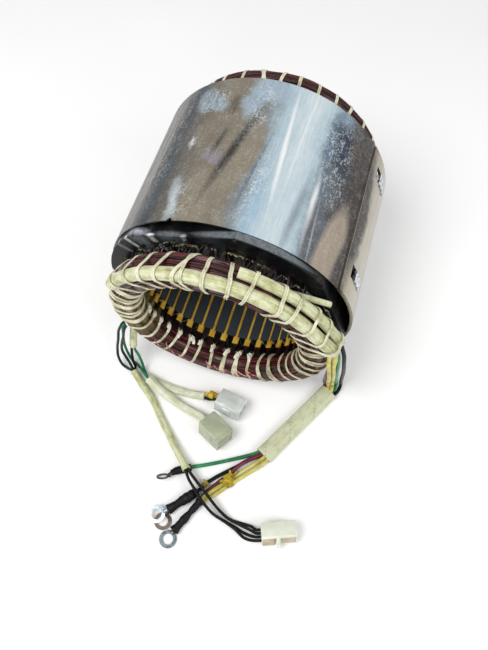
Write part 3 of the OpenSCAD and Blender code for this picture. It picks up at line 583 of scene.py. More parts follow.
class Shape:
    """Gathers closed shapes, in millimetres, that become one mesh."""

    def __init__(self):
        self.points, self.faces, self.lay, self.tone = [], [], [], []

    def loft(self, rings, closed=False, tone=0.5):
        """A closed skin over rings of as many points each, with flat ends unless it closes on itself."""
        base, count, sides = len(self.points), len(rings), len(rings[0])
        for ring in rings:
            self.points.extend(ring)
        self.tone.extend([tone] * (count * sides))
        run = [0.0]
        for k in range(sides):
            run.append(run[-1] + (rings[0][(k + 1) % sides] - rings[0][k]).length)
        along = 0.0
        for i in range(count if closed else count - 1):
            j = (i + 1) % count
            past = along + (rings[j][0] - rings[i][0]).length
            for k in range(sides):
                m = (k + 1) % sides
                self.faces.append([base + row * sides + col for row, col in ((i, k), (i, m), (j, m), (j, k))])
                self.lay.extend([(run[k], along), (run[k + 1], along), (run[k + 1], past), (run[k], past)])
            along = past
        if not closed:
            first = range(base, base + sides)
            for ends in (first[::-1], [v + (count - 1) * sides for v in first]):
                self.faces.append(list(ends))
                self.lay.extend([(self.points[v].x, self.points[v].y) for v in ends])
        return self

    def sweep(self, route, section, ups=None, closed=False, tone=0.5):
        """Sweeps an outline, or section(share of the way, way along), down a route; ups keeps it upright."""
        count, rings, carried, along = len(route), [], None, 0.0
        for i, centre in enumerate(route):
            before = route[(i - 1) % count] if closed else route[max(i - 1, 0)]
            after = route[(i + 1) % count] if closed else route[min(i + 1, count - 1)]
            heading = (after - before).normalized()
            if ups:
                carried = ups[i]
            elif carried is None:
                carried = Vector((0, 0, 1)) if abs(heading.z) < 0.9 else Vector((0, 1, 0))
            carried = (carried - carried.dot(heading) * heading).normalized()
            side = heading.cross(carried)
            if i:
                along += (centre - route[i - 1]).length
            outline = section(i / max(count - 1, 1), along) if callable(section) else section
            rings.append([centre + a * side + b * carried for a, b in outline])
        return self.loft(rings, closed, tone)

    def become(self, name, material, replaces=None, slot=None, sharp=40):
        """Makes the object, riding on the stator's body."""
        mesh = bpy.data.meshes.new(name)
        mesh.from_pydata([p * MM for p in self.points], [], self.faces)
        mesh.uv_layers.new(name="lay").uv.foreach_set("vector", [v * MM for pair in self.lay for v in pair])
        mesh.attributes.new("tone", "FLOAT", "POINT").data.foreach_set("value", self.tone)
        mesh.polygons.foreach_set("use_smooth", [True] * len(mesh.polygons))
        mesh.set_sharp_from_angle(angle=math.radians(sharp))
        mesh.materials.append(material)
        made = put(name, mesh)
        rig.ride(made, "root")
        if replaces:
            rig.replaces(made, replaces)
        if slot:
            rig.slot(made, slot)
        return made


def oval(half_wide, half_high, sides=16, power=2.0):
    """A section's outline, round at power 2 and squarer above it."""
    outline = []
    for k in range(sides):
        c, s = math.cos(TURN * k / sides), math.sin(TURN * k / sides)
        outline.append((half_wide * math.copysign(abs(c) ** (2 / power), c),
                        half_high * math.copysign(abs(s) ** (2 / power), s)))
    return outline


def on_floor(point):
    """A point of a route in the row frame."""
    return Vector((point[0], point[1], point[2] + FLOOR))


def smooth_route(points, step=1.2):
    """A curve through a route's points, with a point about every step."""
    ends = [2 * points[0] - points[1]] + points + [2 * points[-1] - points[-2]]
    route = []
    for a, b, c, d in zip(ends, ends[1:], ends[2:], ends[3:]):
        ab, bc, cd = (b - a).length, (c - b).length, (d - c).length
        leave = bc * ((b - a) / ab * bc + (c - b) / bc * ab) / (ab + bc)
        arrive = bc * ((c - b) / bc * cd + (d - c) / cd * bc) / (bc + cd)
        count = max(1, round(bc / step))
        for k in range(count):
            t = k / count
            route.append((2 * t ** 3 - 3 * t ** 2 + 1) * b + (t ** 3 - 2 * t ** 2 + t) * leave
                         + (3 * t ** 2 - 2 * t ** 3) * c + (t ** 3 - t ** 2) * arrive)
    return route + [points[-1]]


def floor_route(points, step=1.2):
    """The curve of a route given by heights over the floor."""
    return smooth_route([on_floor(p) for p in points], step)


def around_axis(r, y, degrees):
    """A point at a radius and an angle round the bore's axis."""
    turn = math.radians(degrees)
    return Vector((r * math.cos(turn), y, r * math.sin(turn)))


def wobble(seed, place, size):
    """Smooth unevenness from -1 to 1 that repeats the same on every run."""
    place = Vector(place) if isinstance(place, (tuple, Vector)) else Vector((place, 0, 0))
    return noise.noise(place / size + Vector((seed * 7.3, seed * 3.1, 0)))


# ---------- routes, as in the part ----------

def by_face(at, way, across, up, along):
    """A point by a face: across and up in the face, and along its way out from it."""
    right = way.cross(Vector((0, 0, 1))).normalized()
    return at + across * right + up * right.cross(way) + along * way


def into(route, across, up, off=1.6):
    """The last two points of a wire that enters the start of a route."""
    at, way = Vector(route[0]), (Vector(route[1]) - Vector(route[0])).normalized()
    return [by_face(at, way, across, up, -gap) for gap in (off, 0.1)]


def out_of(route, across, up, off=1.6):
    """The first two points of a wire that leaves the end of a route."""
    at, way = Vector(route[-1]), (Vector(route[-1]) - Vector(route[-2])).normalized()
    return [by_face(at, way, across, up, gap) for gap in (0.1, off)]


def out_of_seat(seat, out, front, off=1.5):
    """The first two points of a lead that leaves a sleeve tied to the ring."""
    c, s = math.cos(math.radians(seat["turn"])), math.sin(math.radians(seat["turn"]))
    return [Vector(((seat["r"] + out) * c + far * s, seat["y"] - front, (seat["r"] + out) * s - far * c + SHROUD_R))
            for far in (seat["tail"] + 0.1, seat["tail"] + off)]


WIDE_MOUTH, WIDE_WAY, WIDE_RIGHT = Vector((97, -86, 0)), Vector((-0.4905, -0.8714, 0)), Vector((0.8714, -0.4905, 0))
WIDE_LONG, WIDE_W, WIDE_H = 82, 15.6, 8.3
LOW, HIGH = 2.5, 5.8


def in_wide(across, height, along):
    """A point in the wide sleeve, from the middle of its mouth at the floor."""
    return WIDE_MOUTH + across * WIDE_RIGHT + along * WIDE_WAY + Vector((0, 0, height))


def through_wide(height, *across):
    """A lead's four points in the wide sleeve: in its mouth and just inside it, and the same at its far end."""
    return [in_wide(a, height, along) for a, along in zip(across, (0, 6, WIDE_LONG - 6, WIDE_LONG))]


CONNECTORS = {
    "four_way": dict(size=(28.5, 13, 16), turn=(-24, 0, 20.7), at=(85.5, -214)),
    "upper": dict(size=(24, 16, 15), turn=(-13, 0, -11.3), at=(17.1, -124.1)),
    "lower": dict(size=(24.5, 18, 17), turn=(-15, -8, -29), at=(12.1, -150.3)),
}


def connector_frame(name):
    """A connector's middle and turn, lying with its lowest corner on the floor."""
    (long, wide, high), turn, (x, y) = CONNECTORS[name].values()
    rx, ry, rz = (math.radians(a) for a in turn)
    middle = 0.05 + (long * abs(math.sin(ry)) + wide * abs(math.cos(ry) * math.sin(rx))
                     + high * math.cos(ry) * math.cos(rx)) / 2
    spin = Matrix.Rotation(rz, 4, "Z") @ Matrix.Rotation(ry, 4, "Y") @ Matrix.Rotation(rx, 4, "X")
    return Matrix.Translation(Vector((x, y, middle))) @ spin


def onto_face(name, across, up, off=2.0):
    """The last two points of a wire that enters a connector."""
    face = -CONNECTORS[name]["size"][0] / 2
    return [connector_frame(name) @ Vector((face - gap, across, up)) for gap in (off, 0.1)]


GREEN_SHRINK = [[1, -184, 3.1], [-0.7, -185, 3.1], [-4.9, -187.3, 3.1], [-9, -189.7, 3.1], [-12.2, -192.2, 3.6],
                [-13.4, -193.6, 3.9]]
BLACK_SHRINK = [[12.5, -200.8, 4], [-6, -222, 4]]
YELLOW_SHRINK = [[17.4, -207.2, 3.7], [3.8, -236, 3.7]]
LONG_SLEEVE = [[-76.3, -117.6, 3.6], [-74.8, -118.9, 3.6], [-65.4, -127.1, 3.6], [-52.3, -136.8, 3.6],
               [-38.9, -150.8, 3.6], [-24.3, -165.3, 5], [-10.6, -178.7, 8.5], [-2.6, -186.3, 10.1],
               [-1.2, -187.7, 10.4]]
UPPER_SLEEVE = [[-62, -119, 4.1], [-60, -119.4, 4.1], [-47.7, -122, 4.1], [-34.1, -123.3, 4.1], [-20.7, -123.6, 5.2],
                [-9.3, -122.8, 7.1], [-7.3, -122.6, 7.4]]
LOWER_SLEEVE = [[-59, -123, 12.5], [-57.2, -123.8, 12.1], [-44.6, -129.4, 9], [-31.3, -133.8, 5.6],
                [-18.1, -137.8, 5.4], [-9, -140, 7.5], [-4, -141.5, 9.2], *onto_face("lower", 0, 0)]
SIDE_STUB = [[-74.7, -95.2, 60], [-77.6, -103.5, 31.2]]
FACE_STUB = [[45.9, -82, 160.5], [75.5, -76, 147.2]]

# Each lead's insulation, slot, length in metres, far end and route.
MAIN_LEADS = {
    "green_lead": ("green", "green_insulation", 0.276, "fitting", [
        *out_of_seat(MAIN_SEAT, 1.7, -1.7), [90, -97.8, 119], [92.8, -98, 102], [94.6, -95.6, 82], [96.6, -91.2, 60],
        [98.4, -86, 39], [100.2, -81.2, 20], [101.5, -78.6, 9.5], [101.6, -81.2, 4.4],
        *through_wide(LOW, 1.8, 1.3, -4.7, -5.1), [45.6, -159.7, 1.7], [38, -164.2, 1.7], [27, -170.4, 1.7],
        [15, -176.8, 1.7], [8, -180.3, 1.9], *into(GREEN_SHRINK, 0, 0)]),
    "black_lead": ("black", "black_insulation", 0.277, "fitting", [
        *out_of_seat(OUTER_SEAT, 0, 0, 2), [91.6, -90.6, 117], [94.8, -91.4, 107], [98, -91, 88], [100.7, -88, 66],
        [102.6, -83.6, 41], [104.4, -79.4, 18], [105.5, -77.6, 8.5], [105.4, -81.3, 4],
        *through_wide(LOW, 5.2, 4.7, -1, -1.4), [47.4, -162.8, 1.7], [40.2, -169.6, 1.7], [32, -177.4, 1.7],
        [27, -182, 1.7], [23, -186, 1.7], [16.6, -193.8, 2.5], *into(BLACK_SHRINK, 0, 0, 2.6)]),
    "red_lead": ("red", "red_insulation", 0.272, "object", [
        *out_of_seat(MAIN_SEAT, -1.7, -1.7), [85.4, -99, 118], [86.9, -101, 104], [87.7, -99.8, 86], [88.3, -95.5, 64],
        [89.2, -90.5, 43], [90.2, -85.5, 25], [91.2, -81.4, 13], [92, -81, 8],
        *through_wide(HIGH, -5.2, -5, -2.2, -2), [48, -162.5, 5.4], [42, -168.2, 5.3], [38, -173.4, 5.1],
        [35.6, -177.6, 3.7], [33.6, -180.6, 2.2], [29.9, -184.8, 2.2], [25.2, -191, 1.8], [20.7, -197.5, 1.7],
        *into(YELLOW_SHRINK, 1.65, -1.1, 2)]),
    "yellow_lead_a": ("yellow", "yellow_insulation", 0.272, "fitting", [
        *out_of_seat(MAIN_SEAT, -1.7, 1.7), [85, -103, 120], [86.4, -104.8, 110], [88.8, -104, 94], [90.8, -99.7, 72],
        [92, -93.9, 50], [93.4, -88.2, 29], [94.8, -83.6, 15], [95.4, -82.9, 9],
        *through_wide(HIGH, -1.7, -1.5, 1.2, 1.4), [52, -165, 2.5], [45, -172.7, 1.8], [37, -182.1, 2.2],
        [31.8, -188, 2.2], [23.9, -197.6, 3.5], *into(YELLOW_SHRINK, 0, 1.85, 2)]),
    "yellow_lead_b": ("yellow", "yellow_insulation", 0.275, "object", [
        *out_of_seat(MAIN_SEAT, 1.8, 1.7), [88.9, -102.4, 121], [89.8, -103.1, 108], [91.8, -101.6, 92],
        [93.9, -96.6, 69], [95.4, -91, 47], [96.8, -86, 27], [98.2, -82.3, 15], [98.8, -83, 9.3],
        *through_wide(HIGH, 1.8, 1.9, 4.6, 4.8), [55.2, -167.6, 2.5], [48, -175.3, 1.8], [39.6, -184.5, 2.2],
        [34.4, -190.4, 2.2], [26, -200.3, 1.8], *into(YELLOW_SHRINK, -1.65, -1.1, 2)]),
}
SIGNAL_LEADS = {
    "signal_lead_a": ("teal", "black_insulation", 0.079, "object", [
        [-81.3, -97.2, 65.4], [-82.8, -98.4, 64], [-84.4, -99.4, 60.5], [-87, -100.6, 54], [-90, -103.8, 38],
        [-93, -107.5, 21], [-92.5, -111.5, 10.5], [-88.5, -115, 5.2], [-83.2, -116.6, 3],
        *into(LONG_SLEEVE, 1.25, -0.75)]),
    "signal_lead_b": ("teal", "black_insulation", 0.069, "object", [
        [-77.8, -100.6, 66.7], [-78.7, -101.9, 65.6], [-80, -103, 61.5], [-82.4, -104.7, 50], [-85.5, -106.6, 38],
        [-86.5, -109.3, 25], [-82.8, -112.2, 17.5], [-80.2, -114.2, 11], [-78.8, -115.6, 7.6],
        *into(LONG_SLEEVE, 0, 1.4)]),
    "signal_lead_c": ("black", "black_insulation", 0.033, "object", [
        *out_of(SIDE_STUB, 1.6, 0), [-79.6, -107.5, 19], [-78.4, -111.4, 11], [-76.6, -114.2, 3.8],
        *into(LONG_SLEEVE, -1.25, -0.75)]),
    "signal_lead_d": ("bottle_green", "green_insulation", 0.038, "object", [
        *out_of(SIDE_STUB, -1.6, 0), [-73.2, -107, 17], [-70, -110.8, 7.4], [-66.8, -115.4, 4],
        *into(UPPER_SLEEVE, 0, 0)]),
    "signal_lead_e": ("bottle_green", "green_insulation", 0.093, "object", [
        [-79.7, -99.1, 66], [-80.9, -100, 64.7], [-82, -100.8, 61], [-83.2, -101, 54], [-85.2, -101.4, 43],
        [-87, -103, 26], [-85, -106, 12], [-81, -109, 6], [-76, -110.8, 4.2], [-70.6, -114.4, 6.5],
        [-66.5, -118, 10.3], *into(LOWER_SLEEVE, 0, 0)]),
}
THIN_LEADS = {
    "thin_lead_a": ("brown_black", "thin_insulation", 0.09, "connector", [
        *out_of(LONG_SLEEVE, 1.25, 1.25), [3.3, -195, 12.2], [9, -199.8, 12.3], [16.4, -206.3, 12.1],
        [22.3, -210.3, 10.8], [30.3, -214.6, 7.6], [40.7, -217.3, 4.6], [50, -220.2, 4], [61, -225, 6.8],
        *onto_face("four_way", -4.5, 0, 2.4)]),
    "thin_lead_b": ("brown_black", "thin_insulation", 0.088, "object", [
        *out_of(LONG_SLEEVE, 1.25, -1.25), [3.3, -195, 9.7], [9, -199.7, 9.8], [16.5, -206.2, 9.6],
        [22.3, -210.1, 8.3], [30.2, -214.4, 5], [40.5, -216.9, 1.9], [49, -218.6, 1.4], [60, -221.4, 3.8],
        *onto_face("four_way", -1.5, 0, 2.4)]),
    "thin_lead_c": ("brown_black", "thin_insulation", 0.082, "object", [
        *out_of(LONG_SLEEVE, -1.25, 1.25), [8.7, -193.6, 10.8], [18.8, -200.2, 10.5], [27.4, -206.2, 9.1],
        [36, -211.3, 6.5], [43, -214.2, 4.5], [53, -216.2, 4.2], [62.5, -217.6, 6.2],
        *onto_face("four_way", 1.5, 0, 2.4)]),
    "thin_lead_d": ("brown_black", "thin_insulation", 0.082, "object", [
        *out_of(LONG_SLEEVE, -1.25, -1.25), [8.9, -193.8, 8.2], [18.9, -200.3, 7.9], [27.5, -206.3, 6.5],
        [36.2, -211.2, 3.9], [43.1, -213.9, 1.9], [53.5, -214.6, 1.5], [62.5, -214.6, 3.2],
        *onto_face("four_way", 4.5, 0, 2.4)]),
}
PIGTAILS = {
    "pigtail_yellow": ("bright_yellow", [*out_of(UPPER_SLEEVE, -1.6, 0.6, 1.2), [-2.5, -119.8, 10.4],
                                         *onto_face("upper", 1.9, 1.2)]),
    "pigtail_black": ("black", [*out_of(UPPER_SLEEVE, 1.6, -0.6, 1.2), [-2.2, -124.3, 7.6],
                                *onto_face("upper", -1.9, -0.8)]),
}


# ---------- camera, light and floor ----------

def make_camera():
    """Looks down over the lead end: 66 degrees above the horizon, 17 degrees round from the bore's axis."""
    data = bpy.data.cameras.new("camera")
    data.sensor_width = 36
    data.lens = 30.48
    made = put("camera", data)
    made.location = (0.067, -0.2488, 0.3819)
    made.rotation_euler = (math.radians(90 - 65.8), 0, math.radians(16.7))
    bpy.context.scene.camera = made


def area_lamp(name, place, target, size, power):
    data = bpy.data.lights.new(name, "AREA")
    data.shape = "DISK"
    data.size = size
    data.energy = power
    made = put(name, data)
    made.location = place
    made.rotation_euler = (Vector(place) - Vector(target)).to_track_quat("Z", "Y").to_euler()


def light_studio():
    """A soft even room, a large lamp over the left shoulder, and white for what the lens and bright metal see."""
    world = bpy.data.worlds.new("studio")
    world.use_nodes = True
    tree = world.node_tree
    background = tree.nodes["Background"].inputs
    background["Color"].default_value = colour("#ffffff")
    rays = add(tree, "LightPath").outputs
    seen = rays["Is Camera Ray"]
    for ray in ("Is Glossy Ray", "Is Transmission Ray"):
        seen = add(tree, "Math", {0: seen, 1: rays[ray]}, operation="MAXIMUM").outputs[0]
    strength = add(tree, "MapRange", {"Value": seen, "To Min": 0.62, "To Max": 1.0})
    tree.links.new(strength.outputs["Result"], background["Strength"])
    bpy.context.scene.world = world
    area_lamp("key", (-0.35, -0.45, 0.9), (0, -0.05, 0), 0.6, 6.5)
    area_lamp("fill", (0.7, -0.3, 0.6), (0, -0.08, 0), 0.5, 2.2)


def lay_floor():
    half, z = 3.0, cad_low.z - 0.0002
    mesh = bpy.data.meshes.new("floor")
    mesh.from_pydata([(-half, -half, z), (half, -half, z), (half, half, z), (-half, half, z)], [], [(0, 1, 2, 3)])
    mesh.materials.append(pale_floor())
    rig.stage(put("floor", mesh))


# ---------- cords ----------

def lead_shape(name, route, radius):
    """A round lead along a route, and its centreline in metres."""
    line, seed = floor_route(route), len(name) + ord(name[-1])

    def section(share, along):
        grow = 1 + 0.02 * wobble(seed, along, 9)
        return oval(radius * grow, radius * grow, 14)

    return Shape().sweep(line, section), [p * MM for p in line]


def declare_cord(made, path, length, radius, far_end, with_pieces):
    """Says what a loose length is: where it leaves, how long and thick it is, and what goes with it."""
    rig.cord(made, exit=path[0], length=length, diameter=2 * radius * MM, far_end=far_end,
            stiffness="medium", lay="loose", path=path, with_pieces=with_pieces)


def make_leads(leads, radius, plastics, on_them):
    """Leads in their insulation, each declared with its real length."""
    for name, (plastic, slot, length, far_end, route) in leads.items():
        shape, path = lead_shape(name, route, radius)
        made = shape.become(name + "_wire", plastics[plastic], name, slot)
        declare_cord(made, path, length, radius, far_end, on_them.get(name, ()))


def make_sleeve(name, route, radius, drawn, material, length, far_end, with_pieces, seed):
    """A braided sleeve drawn down on its wires by a share of its width, with an open flared end at each side."""
    line = floor_route(route)

    def section(share, along):
        near_end = min(share, 1 - share) * length / MM
        grow = radius * (drawn + 0.035 * wobble(seed, along, 9) + (0.98 - drawn) * math.exp(-near_end / 3))
        press = 0.05 * (1 + wobble(seed + 3, along, 16))
        return [(a, b - (radius - grow) * 0.8) for a, b in oval(grow * (1 + press), grow * (1 - press), 22)]

    made = Shape().sweep(line, section).become(name + "_braid", material, name, "sleeving")
    declare_cord(made, [p * MM for p in line], length, radius, far_end, with_pieces)


def make_wide_sleeve(material):
    """The flat sleeve over the five main leads: thin walled and open at both ends, creased and sagging between."""
    outer, inner = [], []
    for share in shares(42):
        centre = on_floor(in_wide(0, WIDE_H / 2, share * WIDE_LONG))
        wide = WIDE_W / 2 * (1 - 0.03 * math.sin(math.pi * share) + 0.015 * wobble(5, share * 80, 11))
        high = WIDE_H / 2 * (1 - 0.1 * math.sin(math.pi * share) ** 2)
        for rings, wall in ((outer, 0), (inner, 0.6)):
            ring = []
            for a, b in oval(wide - wall, high - wall, 36, 2.9):
                dent = min(0.28 * wobble(6, (share * 80, a * 1.4, b), 9), 0) if b > 0 else 0
                ring.append(centre + a * WIDE_RIGHT + Vector((0, 0, b + dent)))
            rings.append(ring)
    shape = Shape().loft(outer + inner[::-1], closed=True)
    return shape.become("wide_braided_sleeve", material, "wide_sleeve", "sleeving")


def flowing(*marks):
    """A value by share of the way, eased between marks of (share, value)."""
    def value(share):
        for (a, low), (b, high) in zip(marks, marks[1:]):
            if share <= b:
                t = (share - a) / (b - a)
                return low + (high - low) * t * t * (3 - 2 * t)
        return marks[-1][1]
    return value


# Each shrunk tube's path, radius, half width and half height by the share of its length, and seed.
SHRINKS = {
    "green": (GREEN_SHRINK, 3.4, flowing((0, 0.9), (0.3, 1.05), (0.65, 1.0), (1, 0.7)),
              flowing((0, 0.78), (0.3, 0.84), (1, 0.7)), 21),
    "black": (BLACK_SHRINK, 3.8, flowing((0, 0.86), (0.15, 1.06), (0.5, 1.14), (0.66, 0.86), (0.82, 0.9), (1, 1.2)),
              flowing((0, 0.78), (0.2, 0.98), (0.6, 0.9), (1, 0.74)), 22),
    "yellow": (YELLOW_SHRINK, 3.6, flowing((0, 0.98), (0.22, 0.84), (0.42, 0.7), (0.6, 0.94), (0.8, 0.84), (1, 1.12)),
               flowing((0, 0.98), (0.4, 0.82), (1, 0.76)), 23),
}


def make_shrink(name, material):
    """A tube shrunk over a joint, drawn in unevenly and ringed."""
    path, radius, wide, high, seed = SHRINKS[name]

    def section(share, along):
        rings = 0.045 * math.sin(along * 3.1 + 2 * wobble(seed, along, 3))
        pinch = 1 + 0.13 * wobble(seed, along, 2.6) + rings
        return oval(radius * wide(share) * pinch, radius * high(share) * pinch, 22)

    shape = Shape().sweep(floor_route(path, 0.9), section)
    return shape.become(name + "_shrunk_tube", material, name + "_shrink", "shrink_tube")


def hull(points):
    """The convex outline of points in a plane, counter-clockwise."""
    points = sorted(set(points))
    halves = []
    for run in (points, points[::-1]):
        half = []
        for p in run:
            while len(half) > 1 and ((half[-1][0] - half[-2][0]) * (p[1] - half[-2][1])
                                     - (half[-1][1] - half[-2][1]) * (p[0] - half[-2][0])) <= 0:
                half.pop()
            half.append(p)
        halves.append(half[:-1])
    return halves[0] + halves[1]


def even_outline(outline, count):
    """A closed outline resampled to evenly spaced points, each with its outward way."""
    points = [Vector(p) for p in outline]
    sides = [b - a for a, b in zip(points, points[1:] + points[:1])]
    total, made = sum(side.length for side in sides), []
    i, passed = 0, 0.0
    for k in range(count):
        want = total * k / count
        while passed + sides[i].length < want:
            passed += sides[i].length
            i += 1
        made.append(points[i] + sides[i] * ((want - passed) / sides[i].length))
    runs = [made[(k + 1) % count] - made[k - 1] for k in range(count)]
    return [(p, Vector((run.y, -run.x)).normalized()) for p, run in zip(made, runs)]


def tape_section(wide, thick):
    """Two flat strands side by side, as one outline."""
    w, t = wide / 2, thick / 2
    return [(-w, 0), (-w * 0.88, t * 0.75), (-w * 0.52, t), (-w * 0.18, t * 0.7), (0, -t * 0.1), (w * 0.18, t * 0.7),
            (w * 0.52, t), (w * 0.88, t * 0.75), (w, 0), (w * 0.85, -t * 0.8), (0, -t), (-w * 0.85, -t * 0.8)]


def shares(steps):
    """The share of the way at each of so many even steps, from 0 to 1."""
    return [step / steps for step in range(steps + 1)]


def circle(across, up, radius, count):
    """So many points round a circle in a plane."""
    return [(across + radius * math.cos(TURN * k / count), up + radius * math.sin(TURN * k / count))
            for k in range(count)]


def wrap_leads(shape, centre, heading, across, radius, turns, tape, seed):
    """Tape wound round leads that lie side by side, at distances across from the centre."""
    way = Vector((math.cos(math.radians(heading)), math.sin(math.radians(heading)), 0))
    right = Vector((way.y, -way.x, 0))
    outline = even_outline(hull([p for a in across for p in circle(a, 0, radius + tape[1] / 2, 24)]), 40)
    for n in range(turns):
        shift = (n - (turns - 1) / 2) * tape[0] * 0.62
        lean = random.uniform(-0.12, 0.12)
        route, ups = [], []
        for p, out in outline:
            flat = p * (1 + 0.02 * n) + out * 0.15 * wobble(seed + n, (p.x * 3, p.y * 3, n * 5), 2.0)
            route.append(centre + flat.x * right + Vector((0, 0, flat.y)) + (shift + lean * p.x) * way)
            ups.append(out.x * right + Vector((0, 0, out.y)))
        shape.sweep(route, tape_section(*tape), ups, closed=True)


def knot(shape, place, size, high, section, tone=0.5):
    """Tape tied in a knot; place turns its three distances into a point."""
    turns = [TURN * m / 30 for m in range(30)]
    shape.sweep([place(size * (math.sin(t) + 2 * math.sin(2 * t)), size * (math.cos(t) - 2 * math.cos(2 * t)),
                       -high * math.sin(3 * t)) for t in turns], section, closed=True, tone=tone)


def tape_tails(shape, tails, wide, narrower, step):
    """Loose ends of tape that narrow as they fray."""
    for tail in tails:
        shape.sweep(floor_route(tail, step), lambda share, along: tape_section(wide - narrower * share, 0.6))


def make_yellow_tie(material):
    """Yellow tape wound round the red and the yellow leads and knotted twice, with frayed ends."""
    shape = Shape()
    wrap_leads(shape, on_floor([34.5, -185.2, 2.2]), 228.6, (-3.5, 0, 3.5), 1.62, 3, (2.2, 0.5), 11)
    for x, y, turn, size in ((32.4, -187.6, 20, 0.74), (35.9, -182.2, 75, 0.78)):
        c, s = math.cos(math.radians(turn)), math.sin(math.radians(turn))
        knot(shape, lambda a, b, up: on_floor([x + a * c - b * s, y + a * s + b * c, 5.2 + up]),
             0.95 * size, size, oval(1.15, 0.8, 8))
    tape_tails(shape, ([[35.6, -182.4, 5.4], [37.6, -180, 6], [38.8, -177.2, 6.4]],
                       [[35.4, -182, 5.4], [33.8, -179.4, 5.6], [33.4, -177, 5]],
                       [[32.6, -187.4, 5.4], [29.9, -187.2, 5.2], [28, -188.6, 4.6]],
                       [[33, -188, 5.2], [34.6, -190.2, 5], [36.6, -191.2, 4.6]]), 2.2, 0.6, 0.8)
    return shape.become("yellow_tape_tie", material, "yellow_tie", "tie")


def make_small_tie(material):
    """A few turns of olive tape where the black lead enters its shrunk tube, ending in two short tails."""
    shape = Shape()
    wrap_leads(shape, on_floor([16.6, -193.8, 2.5]), 234, (0,), 1.7, 4, (1.9, 0.7), 17)
    tape_tails(shape, ([[17, -193.4, 4.6], [18.8, -193.4, 5.4], [20.6, -194.4, 5.2]],
                       [[16.4, -193.2, 4.7], [15.6, -191.4, 5.2], [14.2, -190.4, 4.8]]), 1.9, 0.5, 0.7)
    return shape.become("olive_tape_tie", material, "small_tie", "tie")


def make_pigtail(name, plastics):
    """One wire of the short pair at the upper housing; the yellow one is wound into a lump on its way."""
    plastic, route = PIGTAILS[name]
    shape, path = lead_shape(name, route, 1.3)
    if name == "pigtail_yellow":
        middle = (path[0] + path[-1]) / 2 / MM
        spin = [middle + Vector((1.6 * (n - 13) / 13, 2.4 * math.cos(n / 2.1), 0.4 + 2.4 * math.sin(n / 2.1)))
                for n in range(27)]
        shape.sweep(smooth_route(spin, 0.9), oval(1.4, 1.4, 12))
    return shape.become(name, plastics[plastic], "upper_pigtail", "yellow_insulation")


# ---------- connectors ----------

def blocks(name, *rows):
    """Blocks with rounded edges in a connector's frame, each between two corners."""
    shape, at = Shape(), Matrix.Translation((0, 0, FLOOR)) @ connector_frame(name)
    for (x0, y0, z0), (x1, y1, z1), edge in rows:
        def ring(x, inset):
            hw, hh, r = (y1 - y0) / 2 - inset, (z1 - z0) / 2 - inset, max(edge - inset, 0.08)
            outline = []
            for quarter, (sy, sz) in enumerate(((1, 1), (-1, 1), (-1, -1), (1, -1))):
                for step in range(4):
                    turn = math.pi / 2 * (quarter + step / 3)
                    outline.append((sy * (hw - r) + r * math.cos(turn), sz * (hh - r) + r * math.sin(turn)))
            return [at @ Vector((x, (y0 + y1) / 2 + a, (z0 + z1) / 2 + b)) for a, b in outline]

        ends = [(0, edge), (edge * 0.3, edge * 0.3), (edge, 0)]
        shape.loft([ring(x0 + gap, inset) for gap, inset in ends]
                   + [ring(x1 - gap, inset) for gap, inset in reversed(ends)])
    return shape


def make_four_way(material, shaded_material):
    """Four-way housing: a lid over a shaded recess on its near side, a low panel by the wires and a latch."""
    x, y, z = (size / 2 for size in CONNECTORS["four_way"]["size"])
    # The core and the low panel are in the shaded nylon, the same nylon in darker, browner shades: painted shade of the
    # recess.
    core = blocks("four_way", ((-x + 0.6, -y + 2.2, -z), (x - 0.2, y - 0.1, z - 0.4), 0.6),
                  ((-x + 0.6, -y + 1.2, -z), (-3.6, -y + 3.2, z - 2.8), 0.5))
    shaded = core.become("four_way_core", shaded_material, "four_way_connector", "nylon_natural", 30)
    shell = blocks(
        "four_way", ((-x, -y, z - 3.6), (x, y, z), 0.8), ((x - 1.2, -y + 1.2, -z + 0.4), (x, y, z - 2.4), 0.5),
        ((-x, -y + 1.4, -z + 1), (-x + 1.6, y - 0.2, z - 2.4), 0.5),
        ((-2.8, -y - 0.7, -z + 3), (0.6, -y + 3, z - 2), 0.5),
        ((-2.2, -y - 2.4, -z + 0.2), (0.8, -y + 2.6, -z + 4.4), 0.6),
        *(((-x - 0.05, -y + 2.4 + n * 3.1, -z + 3), (-x + 1.2, -y + 3 + n * 3.1, z - 3), 0.25) for n in range(3)))
    return [shell.become("four_way_housing", material, "four_way_connector", "nylon_natural", 30), shaded]


def make_pair_housing(name, material, slot, latch, filled):
    """Square housing: plain smooth sides, a stepped socket end, a latch on its near side and a collar for the wires."""
    x, y, z = (size / 2 for size in CONNECTORS[name]["size"])
    w, h, wall, rim = y - 0.35, z - 0.35, 1.4, x - 3.4
    rows = [
        ((-x, -y, -z), (x - 2.8, y, z), 1.1),
        ((rim, -w, h - wall), (x, w, h), 0.35), ((rim, -w, -h), (x, w, -h + wall), 0.35),
        ((rim, -w, -h + wall * 0.6), (x, -w + wall, h - wall * 0.6), 0.35),
        ((rim, w - wall, -h + wall * 0.6), (x, w, h - wall * 0.6), 0.35),
        ((-latch / 2, -y - 0.9, -1), (latch / 2, -y + 0.4, 4), 0.45),
        ((latch / 2 - 1.6, -y - 1, -0.6), (latch / 2, -y + 0.4, 3.6), 0.4),
        ((-x + 0.2, -y + 1.2, z - 1.2), (-x + 5.2, y - 1.2, z + 0.02), 0.3),
        ((x - 8.4, -y - 0.1, -z + 1), (x - 7.4, y + 0.1, z - 1), 0.3)]
    if filled:
        rows += [((x - 3.2, -y + 1.2, -z + 1.2), (x - 0.7, y - 1.2, z - 1.2), 0.4),
                 ((x - 3.2, -y + 1, -0.6), (x - 0.1, y - 1, 0.6), 0.4)]
    return blocks(name, *rows).become(name + "_housing", material, name + "_connector", slot, 30)


# ---------- the wound rings ----------

